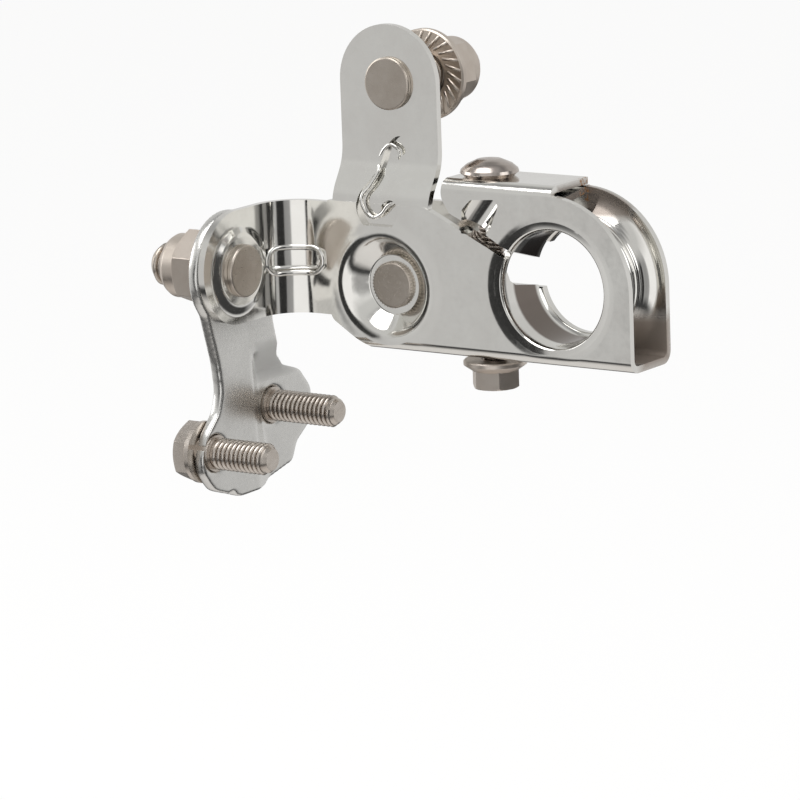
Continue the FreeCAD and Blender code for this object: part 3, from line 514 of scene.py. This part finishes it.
def settle(obj: bpy.types.Object) -> None:
    """Turn an object with modifiers into a plain mesh.

    Args:
        obj: Object whose modifiers are applied.
    """
    bpy.context.view_layer.update()
    graph = bpy.context.evaluated_depsgraph_get()
    mesh = bpy.data.meshes.new_from_object(obj.evaluated_get(graph))
    obj.modifiers.clear()
    obj.data = mesh


def shade(mesh: bpy.types.Mesh, degrees: float) -> None:
    """Smooth a mesh and keep the edges sharp that turn by more than an angle.

    Args:
        mesh: Mesh to shade.
        degrees: Angle between two faces from which their edge stays sharp.
    """
    for polygon in mesh.polygons:
        polygon.use_smooth = True
    mesh.set_sharp_from_angle(angle=math.radians(degrees))


class Axis(Enum):
    """Axis that a turned detail lies along, as the Euler turn that lays a Z-built shape on it."""

    X = (0.0, math.pi / 2, 0.0)
    Y = (-math.pi / 2, 0.0, 0.0)
    Z = (0.0, 0.0, 0.0)

    @property
    def number(self) -> int:
        """Number of the axis in a position."""
        return "XYZ".index(self.name)


def moved(axis: Point, along: Axis, start: float) -> tuple[float, ...]:
    """Point of an axis at a start position, in millimetres."""
    return tuple(start if i == along.number else v for i, v in enumerate(axis))


@dataclass(frozen=True)
class ThreadSize:
    """Metric thread: its outer radius, core radius and pitch, in millimetres."""

    radius: float
    core: float
    pitch: float


M5 = ThreadSize(2.5, 2.1, 0.8)
M6 = ThreadSize(3.0, 2.5, 1.0)
M8 = ThreadSize(4.0, 3.4, 1.25)


@dataclass(frozen=True)
class Core:
    """Length of a shank that is drawn in to the thread's core radius, in millimetres."""

    along: Axis
    centre: Point
    low: float
    high: float
    thread: ThreadSize

    def cut(self, mesh: bpy.types.Mesh) -> None:
        """Cut the shank at both ends of the length and draw it in.

        Args:
            mesh: Merged mesh of the piece.
        """
        shell = bmesh.new()
        shell.from_mesh(mesh)
        number = self.along.number
        normal = Vector([1.0 if i == number else 0.0 for i in range(3)])
        for spot in (self.low - STEP_MM, self.low, self.high, self.high + STEP_MM):
            everything = shell.verts[:] + shell.edges[:] + shell.faces[:]
            bmesh.ops.bisect_plane(shell, geom=everything, plane_co=normal * spot * MM,
                                   plane_no=normal, dist=1e-7)
        middle = Vector(self.centre) * MM
        for vertex in shell.verts:
            away = vertex.co - middle
            away[number] = 0.0
            spot = vertex.co[number] / MM
            inside = self.low - STEP_MM / 2 < spot < self.high + STEP_MM / 2
            if inside and away.length < (self.thread.radius + SLACK_MM) * MM:
                vertex.co -= away * (1 - self.thread.core / self.thread.radius)
        shell.to_mesh(mesh)
        shell.free()


@dataclass(frozen=True)
class RolledLip:
    """Front edge of the post bore: a shallow cone that ends in a tight roll, in millimetres.

    `fall` is the depth of the cone for each millimetre of its width.
    """

    radius: float
    corner: float
    front: float
    cone: float
    fall: float

    def cut(self, mesh: bpy.types.Mesh) -> None:
        """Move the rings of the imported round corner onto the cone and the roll.

        Args:
            mesh: Merged mesh of the clamp.
        """
        for vertex in mesh.vertices:
            away = math.hypot(vertex.co.x, vertex.co.z) / MM
            across = self.radius - away
            down = self.front + self.corner - vertex.co.y / MM
            off = abs(math.hypot(across, down) - self.corner)
            if min(across, down) < -SLACK_MM or off > 2 * SLACK_MM:
                continue
            share = math.atan2(across, down) / (math.pi / 2)
            bend = max(0.0, share * 2 - 1) * math.pi / 2
            sunk = min(1.0, share * 2) * self.cone
            ring = self.radius - sunk - (self.corner - self.cone) * math.sin(bend)
            vertex.co.x *= ring / away
            vertex.co.z *= ring / away
            vertex.co.y = MM * (self.front + sunk * self.fall
                                + (self.corner - self.cone * self.fall) * (1 - math.cos(bend)))


@dataclass
class FramePiece:
    """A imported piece, softened at its edges and dressed in its finish."""

    node: str
    body: str
    slot: str
    finish: Finish
    edge_mm: float = 0.12
    crease_deg: float = 24.0
    cores: tuple[Core | RolledLip, ...] = ()

    def build(self) -> bpy.types.Object:
        """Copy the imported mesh, merge and soften it, and put it in the piece's place.

        Returns:
            The dressed object.
        """
        obj = new_object(self.node + "_dressed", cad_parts[self.node].data.copy())
        self.merge(obj.data)
        for core in self.cores:
            core.cut(obj.data)
        self.soften(obj)
        obj.data.materials.clear()
        obj.data.materials.append(material_of(self.finish))
        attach(obj, self.body)
        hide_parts(self.node)
        LOG.info("%s: %d faces", obj.name, len(obj.data.polygons))
        return obj

    def merge(self, mesh: bpy.types.Mesh) -> None:
        """Join the loose triangles and clear the lines inside flat faces.

        Args:
            mesh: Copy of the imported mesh.
        """
        shell = bmesh.new()
        shell.from_mesh(mesh)
        bmesh.ops.remove_doubles(shell, verts=shell.verts, dist=WELD_MM * MM)
        bmesh.ops.dissolve_limit(shell, angle_limit=math.radians(FLAT_DEG), verts=shell.verts,
                                 edges=shell.edges)
        shell.to_mesh(mesh)
        shell.free()

    def soften(self, obj: bpy.types.Object) -> None:
        """Round the sharp edges a little, as tumbling and plating do.

        Args:
            obj: Object with the merged mesh.
        """
        if obj.data.has_custom_normals:
            bpy.context.view_layer.objects.active = obj
            bpy.ops.mesh.customdata_custom_splitnormals_clear()
        shade(obj.data, self.crease_deg)
        edge = obj.modifiers.new("edge", "BEVEL")
        edge.width = self.edge_mm * MM
        edge.segments = 2
        edge.limit_method = "ANGLE"
        edge.angle_limit = math.radians(self.crease_deg)
        edge.use_clamp_overlap = True
        weight = obj.modifiers.new("weight", "WEIGHTED_NORMAL")
        weight.keep_sharp = True
        settle(obj)


@dataclass
class TumbledPiece(FramePiece):
    """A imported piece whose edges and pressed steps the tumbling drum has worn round."""

    crease_deg: float = 60.0
    voxel_mm: float = 0.3
    rounds: int = 24

    def soften(self, obj: bpy.types.Object) -> None:
        """Build the skin anew on an even grid and wear it down.

        Args:
            obj: Object with the merged mesh.
        """
        grid = obj.modifiers.new("grid", "REMESH")
        grid.mode = "VOXEL"
        grid.voxel_size = self.voxel_mm * MM
        wear = obj.modifiers.new("wear", "SMOOTH")
        wear.factor = 0.5
        wear.iterations = self.rounds
        settle(obj)
        shade(obj.data, self.crease_deg)


@dataclass
class DrawnFlare:
    """Sheet that flares about the post bore, where the press has drawn the collar out of it.

    The profile holds (radius, position along the bore) pairs in millimetres.
    """

    name: str
    profile: tuple[tuple[float, float], ...]
    start_deg: float
    end_deg: float
    steps: int = 72
    crease_deg: float = 40.0

    def build(self) -> bpy.types.Object:
        """Turn the profile about the bore and close both ends.

        Returns:
            The flare, riding on the clamp.
        """
        shell = bmesh.new()
        rows = []
        for step in range(self.steps + 1):
            angle = math.radians(self.start_deg + (self.end_deg - self.start_deg)
                                 * step / self.steps)
            rows.append([shell.verts.new((r * math.cos(angle) * MM, y * MM,
                                          r * math.sin(angle) * MM)) for r, y in self.profile])
        count = len(self.profile)
        for near, far in zip(rows, rows[1:]):
            for i in range(count):
                j = (i + 1) % count
                shell.faces.new((near[i], near[j], far[j], far[i]))
        shell.faces.new(rows[0])
        shell.faces.new(rows[-1])
        bmesh.ops.recalc_face_normals(shell, faces=shell.faces)
        mesh = bpy.data.meshes.new(self.name)
        shell.to_mesh(mesh)
        shell.free()
        shade(mesh, self.crease_deg)
        obj = new_object(self.name, mesh)
        obj.data.materials.append(material_of(Finish.SHEET))
        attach(obj, "clamp")
        LOG.info("%s: %d faces", obj.name, len(mesh.polygons))
        return obj


def fillet_profile(radius: float, wall_r: float, floor_y: float,
                   ridge: float) -> tuple[tuple[float, float], ...]:
    """Section of a fillet between the collar's outside and the back wall, with drawing ridges.

    Args:
        radius: Radius of the fillet in millimetres.
        wall_r: Radius of the collar's outside.
        floor_y: Position of the back wall's inner face.
        ridge: Height of the ridges near the collar.

    Returns:
        Closed section as (radius, position) pairs.
    """
    steps, ridged_steps, turn_of_step = 36, 20, 2.2
    sunk_r, sunk_y = 0.3, 0.2
    points = []
    for step in range(steps + 1):
        angle = math.radians(90 * step / steps)
        wave = ridge * math.sin(step * turn_of_step) * max(0.0, 1 - step / ridged_steps)
        points.append((wall_r + radius - (radius - wave) * math.cos(angle),
                       floor_y - radius + (radius - wave) * math.sin(angle)))
    points.append((wall_r - sunk_r, floor_y + sunk_y))
    return tuple(points)


@dataclass
class NodeShape:
    """Shape grown by a Geometry Nodes tree, turned into a plain mesh in its place."""

    name: str
    body: str
    slot: str
    finish: Finish
    axis: Axis
    at_mm: tuple[float, ...]
    sizes: dict[str, float]

    def build(self) -> bpy.types.Object:
        """Grow the shape and let it ride on its body.

        Returns:
            The finished object, at the origin.
        """
        obj = new_object(self.name, self.start())
        tree = self.plant()
        grower = obj.modifiers.new("grow", "NODES")
        grower.node_group = tree
        for item in tree.interface.items_tree:
            if item.in_out == "INPUT" and item.name in self.sizes:
                grower[item.identifier] = self.sizes[item.name]
        settle(obj)
        for polygon in obj.data.polygons:
            polygon.use_smooth = True
        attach(obj, self.body)
        LOG.info("%s: %d faces", obj.name, len(obj.data.polygons))
        return obj

    def plant(self) -> bpy.types.NodeTree:
        """Build the tree: the shape's own nodes, laid in place and dressed.

        Returns:
            The tree, with the shape's sizes as its inputs.
        """
        tree = bpy.data.node_groups.new(self.name, "GeometryNodeTree")
        tree.interface.new_socket("Geometry", in_out="OUTPUT", socket_type="NodeSocketGeometry")
        tree.interface.new_socket("Geometry", in_out="INPUT", socket_type="NodeSocketGeometry")
        for label, size in self.sizes.items():
            kind = "NodeSocketInt" if isinstance(size, int) else "NodeSocketFloat"
            tree.interface.new_socket(label, in_out="INPUT", socket_type=kind)
        grown = self.grow(tree, add_node(tree, "NodeGroupInput"))
        laid = add_node(tree, "GeometryNodeTransform", {}, {
            "Geometry": grown, "Rotation": self.axis.value,
            "Translation": [v * MM for v in self.at_mm]})
        real = add_node(tree, "GeometryNodeRealizeInstances", {}, {
            "Geometry": laid.outputs["Geometry"]})
        dressed = add_node(tree, "GeometryNodeSetMaterial", {}, {
            "Geometry": real.outputs["Geometry"], "Material": material_of(self.finish)})
        add_node(tree, "NodeGroupOutput", {}, {"Geometry": dressed.outputs["Geometry"]})
        return tree

    def start(self) -> bpy.types.Mesh:
        """Mesh that the tree takes as its input; empty unless the shape follows a path."""
        return bpy.data.meshes.new(self.name)

    def grow(self, tree: bpy.types.NodeTree, given: bpy.types.Node) -> bpy.types.NodeSocket:
        """Build the tree's own nodes; each kind of shape has its own."""
        raise NotImplementedError


@dataclass
class PressedBead(NodeShape):
    """Rounded edge of a pressed rib, along a path in millimetres.

    The sizes are "Radius" in metres and "Points", the number of points along the bead. The
    taper is the share of the radius by the way along the bead.
    """

    path_mm: tuple[Point, ...]
    taper: tuple[tuple[float, float], ...] = ((0.0, 0.25), (0.08, 0.9), (0.5, 1.0), (0.92, 0.9),
                                              (1.0, 0.25))

    def start(self) -> bpy.types.Mesh:
        """Lay an open chain of edges through the path's points.

        Returns:
            The chain.
        """
        mesh = bpy.data.meshes.new(self.name)
        mesh.from_pydata([[v * MM for v in point] for point in self.path_mm],
                         [(i, i + 1) for i in range(len(self.path_mm) - 1)], [])
        return mesh

    def grow(self, tree: bpy.types.NodeTree, given: bpy.types.Node) -> bpy.types.NodeSocket:
        """Sweep a round section that tapers at both ends along the smoothed path.

        Args:
            tree: Tree that takes the nodes.
            given: Node with the tree's inputs.

        Returns:
            Socket with the bead.
        """
        chain = add_node(tree, "GeometryNodeMeshToCurve", {}, {"Mesh": given.outputs["Geometry"]})
        smooth = add_node(tree, "GeometryNodeCurveSplineType", {"spline_type": "CATMULL_ROM"}, {
            "Curve": chain.outputs["Curve"]})
        even = add_node(tree, "GeometryNodeResampleCurve", {}, {
            "Curve": smooth.outputs["Curve"], "Count": given.outputs["Points"]})
        along = add_node(tree, "GeometryNodeSplineParameter")
        thick = add_node(tree, "ShaderNodeFloatCurve", {}, {"Value": along.outputs["Factor"]})
        points = thick.mapping.curves[0].points
        points[0].location = self.taper[0]
        points[1].location = self.taper[-1]
        for spot in self.taper[1:-1]:
            points.new(*spot)
        thick.mapping.update()
        ring = add_node(tree, "GeometryNodeCurvePrimitiveCircle", {}, {
            "Resolution": 14, "Radius": given.outputs["Radius"]})
        swept = add_node(tree, "GeometryNodeCurveToMesh", {}, {
            "Curve": even.outputs["Curve"], "Profile Curve": ring.outputs["Curve"],
            "Scale": thick.outputs["Value"], "Fill Caps": True})
        return swept.outputs["Mesh"]


@dataclass
class RolledThread(NodeShape):
    """Rolled thread: a V-shaped ridge that winds up the shank.

    The sizes are "Radius", "Pitch" and "Length", in metres.
    """

    def grow(self, tree: bpy.types.NodeTree, given: bpy.types.Node) -> bpy.types.NodeSocket:
        """Wind a four-sided section along a spiral, half of it sunk in the shank.

        Args:
            tree: Tree that takes the nodes.
            given: Node with the tree's inputs.

        Returns:
            Socket with the thread.
        """
        half = add_node(tree, "ShaderNodeMath", {"operation": "MULTIPLY"}, {
            0: given.outputs["Pitch"], 1: 0.5})
        middle = add_node(tree, "ShaderNodeMath", {"operation": "SUBTRACT"}, {
            0: given.outputs["Radius"], 1: half.outputs[0]})
        turns = add_node(tree, "ShaderNodeMath", {"operation": "DIVIDE"}, {
            0: given.outputs["Length"], 1: given.outputs["Pitch"]})
        spiral = add_node(tree, "GeometryNodeCurveSpiral", {}, {
            "Resolution": 28, "Rotations": turns.outputs[0], "Start Radius": middle.outputs[0],
            "End Radius": middle.outputs[0], "Height": given.outputs["Length"]})
        upright = add_node(tree, "GeometryNodeSetCurveNormal", {"mode": "Z_UP"}, {
            "Curve": spiral.outputs["Curve"]})
        ridge = add_node(tree, "GeometryNodeCurvePrimitiveCircle", {}, {
            "Resolution": 4, "Radius": half.outputs[0]})
        swept = add_node(tree, "GeometryNodeCurveToMesh", {}, {
            "Curve": upright.outputs["Curve"], "Profile Curve": ridge.outputs["Curve"],
            "Fill Caps": True})
        return swept.outputs["Mesh"]


@dataclass
class ToothRing(NodeShape):
    """Ring of small straight teeth about the axis.

    The sizes are "Radius" of the ring, "Count", and the teeth's "Out" (radial), "Wide" and
    "High" (axial) sizes in metres, and "Skew", the lean of each tooth in radians.
    """

    def grow(self, tree: bpy.types.NodeTree, given: bpy.types.Node) -> bpy.types.NodeSocket:
        """Put one tooth on each point of a circle and turn it outwards.

        Args:
            tree: Tree that takes the nodes.
            given: Node with the tree's inputs.

        Returns:
            Socket with the teeth, as instances.
        """
        ring = add_node(tree, "GeometryNodeMeshCircle", {}, {
            "Vertices": given.outputs["Count"], "Radius": given.outputs["Radius"]})
        size = add_node(tree, "ShaderNodeCombineXYZ", {}, {
            "X": given.outputs["Out"], "Y": given.outputs["Wide"], "Z": given.outputs["High"]})
        tooth = add_node(tree, "GeometryNodeMeshCube", {}, {"Size": size.outputs[0]})
        spot = add_node(tree, "GeometryNodeInputPosition")
        lean = add_node(tree, "ShaderNodeCombineXYZ", {}, {"Z": given.outputs["Skew"]})
        outward = add_node(tree, "FunctionNodeAlignRotationToVector", {"axis": "X"}, {
            "Vector": spot.outputs["Position"]})
        turned = add_node(tree, "FunctionNodeRotateRotation", {"rotation_space": "LOCAL"}, {
            "Rotation": outward.outputs["Rotation"], "Rotate By": lean.outputs[0]})
        placed = add_node(tree, "GeometryNodeInstanceOnPoints", {}, {
            "Points": ring.outputs["Mesh"], "Instance": tooth.outputs["Mesh"],
            "Rotation": turned.outputs["Rotation"]})
        return placed.outputs["Instances"]


@dataclass(frozen=True)
class Softbox:
    """Round soft lamp that faces the clamp, with its diameter in metres and its power in watts."""

    name: str
    at: Point
    size: float
    power: float

    def hang(self) -> None:
        """Add the lamp to the scene."""
        light = bpy.data.lights.new(self.name, "AREA")
        light.shape = "DISK"
        light.size = self.size
        light.energy = self.power
        obj = bpy.data.objects.new(self.name, light)
        bpy.context.scene.collection.objects.link(obj)
        obj.location = self.at
        obj.rotation_euler = Vector(self.at).to_track_quat("Z", "Y").to_euler()


@dataclass
class Studio:
    """Pale floor, white surround, soft lamps and the camera.

    `floor_glow` is the share of plain white in what the camera sees of the floor.
    """

    floor_z: float = -0.14
    floor_half: float = 3.0
    floor_glow: float = 0.85
    lamps: tuple[Softbox, ...] = (
        Softbox("top_softbox", (-0.15, -0.25, 0.75), 0.7, 3.0),
        Softbox("left_softbox", (-0.75, -0.35, 0.25), 0.5, 1.2),
        Softbox("right_softbox", (0.75, 0.1, 0.4), 0.6, 1.2),
    )
    camera_at: Point = (0.4848, -0.7489, 0.1673)
    azimuth_deg: float = 34.96
    elevation_deg: float = 11.89
    roll_deg: float = -2.01
    lens_mm: float = 225.0
    sensor_mm: float = 36.0

    def build(self) -> None:
        """Make the floor, the surround, the lamps and the camera."""
        self.floor()
        self.surround()
        for lamp in self.lamps:
            lamp.hang()
        self.camera()
        bpy.context.scene.view_settings.view_transform = "Standard"

    def floor(self) -> None:
        """Make the pale floor, which renders almost white and keeps a soft shadow."""
        mesh = bpy.data.meshes.new("studio_floor")
        half = self.floor_half
        mesh.from_pydata([(-half, -half, self.floor_z), (half, -half, self.floor_z),
                          (half, half, self.floor_z), (-half, half, self.floor_z)], [],
                         [(0, 1, 2, 3)])
        obj = new_object("studio_floor", mesh)
        made = blank_material("white_studio_paper")
        tree = made.node_tree
        paper = add_node(tree, "ShaderNodeBsdfDiffuse", {}, {"Color": srgb("#F4F3F1")})
        glow = add_node(tree, "ShaderNodeEmission", {}, {"Color": srgb("#FFFFFF"),
                                                         "Strength": 1.0})
        path = add_node(tree, "ShaderNodeLightPath")
        share = add_node(tree, "ShaderNodeMath", {"operation": "MULTIPLY"}, {
            0: path.outputs["Is Camera Ray"], 1: self.floor_glow})
        mixed = add_node(tree, "ShaderNodeMixShader", {}, {
            0: share.outputs[0], 1: paper.outputs[0], 2: glow.outputs[0]})
        add_node(tree, "ShaderNodeOutputMaterial", {}, {"Surface": mixed.outputs[0]})
        obj.data.materials.append(made)
        obj.visible_glossy = False

    def surround(self) -> None:
        """Make the surround: white to the eye, banded where the metal mirrors it."""
        world = bpy.data.worlds.new("white_studio_tent")
        bpy.context.scene.world = world
        world.use_nodes = True
        tree = world.node_tree
        tree.nodes.clear()
        path = add_node(tree, "ShaderNodeLightPath")
        lit = add_node(tree, "ShaderNodeMix", {"data_type": "RGBA"}, {
            "Factor": path.outputs["Is Glossy Ray"], "A": grey(SOFT_LIGHT),
            "B": self.mirrored(tree)})
        seen = add_node(tree, "ShaderNodeMix", {"data_type": "RGBA"}, {
            "Factor": path.outputs["Is Camera Ray"], "A": lit.outputs["Result"],
            "B": grey(1.0)})
        sky = add_node(tree, "ShaderNodeBackground", {}, {"Color": seen.outputs["Result"],
                                                          "Strength": 1.0})
        add_node(tree, "ShaderNodeOutputWorld", {}, {"Surface": sky.outputs[0]})

    def mirrored(self, tree: bpy.types.NodeTree) -> bpy.types.NodeSocket:
        """Build what the metal mirrors: bands around it, and tones below and above it.

        Args:
            tree: World tree that takes the nodes.

        Returns:
            Socket with the colour.
        """
        place = add_node(tree, "ShaderNodeTexCoord")
        axes = add_node(tree, "ShaderNodeSeparateXYZ", {}, {0: place.outputs["Generated"]})
        toward = add_node(tree, "ShaderNodeMath", {"operation": "MULTIPLY"}, {
            0: axes.outputs["Y"], 1: -1.0})
        turn = add_node(tree, "ShaderNodeMath", {"operation": "ARCTAN2"}, {
            0: axes.outputs["X"], 1: toward.outputs[0]})
        around = add_node(tree, "ShaderNodeMapRange", {}, {
            "Value": turn.outputs[0], "From Min": -math.pi, "From Max": math.pi})
        rise = add_node(tree, "ShaderNodeMapRange", {}, {
            "Value": axes.outputs["Z"], "From Min": -1.0, "From Max": 1.0})
        bands = add_node(tree, "ShaderNodeValToRGB", {}, {"Fac": around.outputs["Result"]})
        set_ramp(bands, [((angle + 180) / 360, (*(bright * c for c in BAND_CAST), 1.0))
                         for angle, bright in BANDS])
        heights = add_node(tree, "ShaderNodeValToRGB", {}, {"Fac": rise.outputs["Result"]})
        set_ramp(heights, [(spot, (*colour, 1.0)) for spot, colour in HEIGHTS])
        shares = add_node(tree, "ShaderNodeValToRGB", {}, {"Fac": rise.outputs["Result"]})
        set_ramp(shares, [(spot, grey(share)) for spot, share in HEIGHT_SHARES])
        return add_node(tree, "ShaderNodeMix", {"data_type": "RGBA"}, {
            "Factor": shares.outputs["Color"], "A": bands.outputs["Color"],
            "B": heights.outputs["Color"]}).outputs["Result"]

    def camera(self) -> None:
        """Place the camera at the fitted view."""
        azimuth, elevation, roll = (math.radians(v) for v in (
            self.azimuth_deg, self.elevation_deg, self.roll_deg))
        right = Vector((math.cos(azimuth), math.sin(azimuth), 0))
        ahead = Vector((-math.sin(azimuth) * math.cos(elevation),
                        math.cos(azimuth) * math.cos(elevation), -math.sin(elevation)))
        up = right.cross(ahead)
        turned_right = right * math.cos(roll) + up * math.sin(roll)
        turned_up = up * math.cos(roll) - right * math.sin(roll)
        lens = bpy.data.cameras.new("view")
        lens.lens = self.lens_mm
        lens.sensor_width = self.sensor_mm
        lens.clip_start = 0.01
        lens.clip_end = 50.0
        obj = bpy.data.objects.new("view", lens)
        bpy.context.scene.collection.objects.link(obj)
        matrix = Matrix((turned_right, turned_up, -ahead)).transposed().to_4x4()
        matrix.translation = Vector(self.camera_at)
        obj.matrix_world = matrix
        bpy.context.scene.camera = obj


PIECES = (
    FramePiece("clamp_body", "clamp", "plated_sheet", Finish.SHEET, edge_mm=0.16, cores=(
        RolledLip(radius=12.57, corner=1.9, front=FRONT_Y, cone=1.25, fall=0.15),)),
    FramePiece("clamp_bolt", "clamp", "plated_bolt", Finish.BOLT, cores=(
        Core(Axis.Z, JAW_AXIS, -20.5, 13.9, M5),)),
    FramePiece("clamp_nut", "jaw_nut", "plated_bolt", Finish.HEX),
    FramePiece("arm_stud", "clamp", "plated_stud", Finish.STUD, cores=(
        Core(Axis.Y, ARM_AXIS, 3.3, 23.5, M8),)),
    FramePiece("arm_nut", "arm_lock", "plated_nut", Finish.NUT),
    FramePiece("arm_nut_ring", "arm_lock", "locking_ring", Finish.RING),
    FramePiece("centre_stud", "clamp", "plated_stud", Finish.STUD, cores=(
        Core(Axis.Y, DISH_AXIS, -1.9, 19.5, M6),)),
    FramePiece("centre_nut", "centre_lock", "plated_nut", Finish.NUT),
    FramePiece("centre_nut_ring", "centre_lock", "locking_ring", Finish.RING),
    FramePiece("side_stud", "clamp", "plated_stud", Finish.STUD, cores=(
        Core(Axis.X, SIDE_AXIS, -78.0, -71.5, M8),)),
    FramePiece("side_nut", "side_lock", "plated_nut", Finish.NUT),
    FramePiece("side_nut_ring", "side_lock", "locking_ring", Finish.RING),
    TumbledPiece("drop_bracket", "bracket", "satin_bracket", Finish.BRACKET),
    FramePiece("lower_bolt", "bracket", "satin_bolt", Finish.THREAD, cores=(
        Core(Axis.X, LOW_AXIS, -59.7, -46.0, M6),)),
    FramePiece("upper_bolt", "bracket", "satin_bolt", Finish.THREAD, cores=(
        Core(Axis.X, HIGH_AXIS, -62.2, -46.0, M6),)),
)


def thread_on(node: str, start: float, length: float) -> RolledThread:
    """Thread on the drawn-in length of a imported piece.

    Args:
        node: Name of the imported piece.
        start: Low end of the thread along its axis, in millimetres.
        length: Length of the thread.

    Returns:
        The thread, in the piece's own finish and on its body.
    """
    piece = next(piece for piece in PIECES if piece.node == node)
    core = piece.cores[0]
    return RolledThread(node + "_thread", piece.body, piece.slot, piece.finish, core.along,
                        moved(core.centre, core.along, start), {
                            "Radius": core.thread.radius * MM, "Pitch": core.thread.pitch * MM,
                            "Length": length * MM})


def rib_rim(middle: float, half: float, round_mm: float, height: float,
            steps: int = 10, overlap: int = 4) -> tuple[Point, ...]:
    """Path of the raised rim around the rib across the bend of the left arm, in millimetres.

    Args:
        middle: Middle of the rib, measured along the bend from its start.
        half: Half length of the rim's straight sides.
        round_mm: Radius of the rim's round ends.
        height: Position of the rib along the bend's axis.
        steps: Points on each side and on each round end.
        overlap: Points by which the path runs over its own start.

    Returns:
        Points of the path.
    """
    side = [(middle - half + 2 * half * step / steps, round_mm) for step in range(steps)]
    end = [(middle + half + round_mm * math.sin(math.pi * step / steps),
            round_mm * math.cos(math.pi * step / steps)) for step in range(steps)]
    loop = side + end + [(2 * middle - along, -up) for along, up in side + end]
    points = []
    for along, up in loop + loop[:overlap]:
        bend = max(0.0, along) / BEND_R
        points.append((BEND_AXIS[0] - (BEND_R + RIM_SUNK) * math.sin(bend) - min(0.0, along),
                       BEND_AXIS[1] + (BEND_R + RIM_SUNK) * math.cos(bend), height + up))
    return tuple(points)


FLARES = (
    DrawnFlare("back_wall_flare",
               fillet_profile(radius=4.6, wall_r=11.9, floor_y=WALL_Y, ridge=0.12), -52, 79),
    DrawnFlare("collar_rear_lip", ((10.16, 6.6), (10.2, 5.6), (10.5, 4.7), (10.78, 4.2),
                                   (11.3, 4.9), (10.9, 6.6)), -166, 142),
)

GROWN = (
    thread_on("lower_bolt", start=-59.2, length=10.8),
    thread_on("upper_bolt", start=-61.7, length=13.3),
    thread_on("clamp_bolt", start=-19.0, length=32.4),
    thread_on("side_stud", start=-76.1, length=4.0),
    thread_on("arm_stud", start=3.9, length=17.7),
    thread_on("centre_stud", start=-1.3, length=18.6),
    PressedBead("arm_rib_edge", "clamp", "plated_sheet", Finish.SHEET, Axis.Z, (0.0, 0.16, 0.0), {
        "Radius": 0.38 * MM, "Points": 110}, path_mm=(
            (-35.3, -2.8, 21.0), (-35.3, -2.8, 22.7), (-37.0, -2.8, 23.7), (-38.6, -2.8, 22.6),
            (-39.7, -3.0, 20.4), (-39.1, -3.95, 18.9), (-40.0, -5.5, 16.4), (-41.1, -6.45, 14.8),
            (-41.2, -6.8, 13.2), (-40.2, -6.8, 11.4), (-38.6, -6.8, 10.6), (-36.8, -6.8, 11.4),
            (-35.6, -6.8, 12.8), (-34.5, -6.8, 13.6))),
    PressedBead("bend_rib_rim", "clamp", "plated_sheet", Finish.SHEET, Axis.Z, (0.0, 0.0, 0.0), {
        "Radius": 0.58 * MM, "Points": 150}, path_mm=rib_rim(
            middle=4.1, half=3.1, round_mm=2.45, height=1.6)),
    ToothRing("centre_stud_knurl", "clamp", "plated_stud", Finish.STUD, Axis.Y,
              moved(DISH_AXIS, Axis.Y, -4.2), {
                  "Radius": 4.2 * MM, "Count": 44, "Out": 0.3 * MM, "Wide": 0.26 * MM,
                  "High": 0.75 * MM, "Skew": 0.0}),
    ToothRing("arm_nut_serration", "arm_lock", "plated_nut", Finish.NUT, Axis.Y,
              moved(ARM_AXIS, Axis.Y, 8.62), {
                  "Radius": 6.7 * MM, "Count": 26, "Out": 3.3 * MM, "Wide": 0.5 * MM,
                  "High": 0.34 * MM, "Skew": 0.5}),
)


def main() -> None:
    """Build every piece in order."""
    logging.basicConfig(level=logging.INFO, format="%(name)s: %(message)s")
    for piece in PIECES + FLARES + GROWN:
        piece.build()
    Studio().build()


if __name__ == "__main__":
    main()
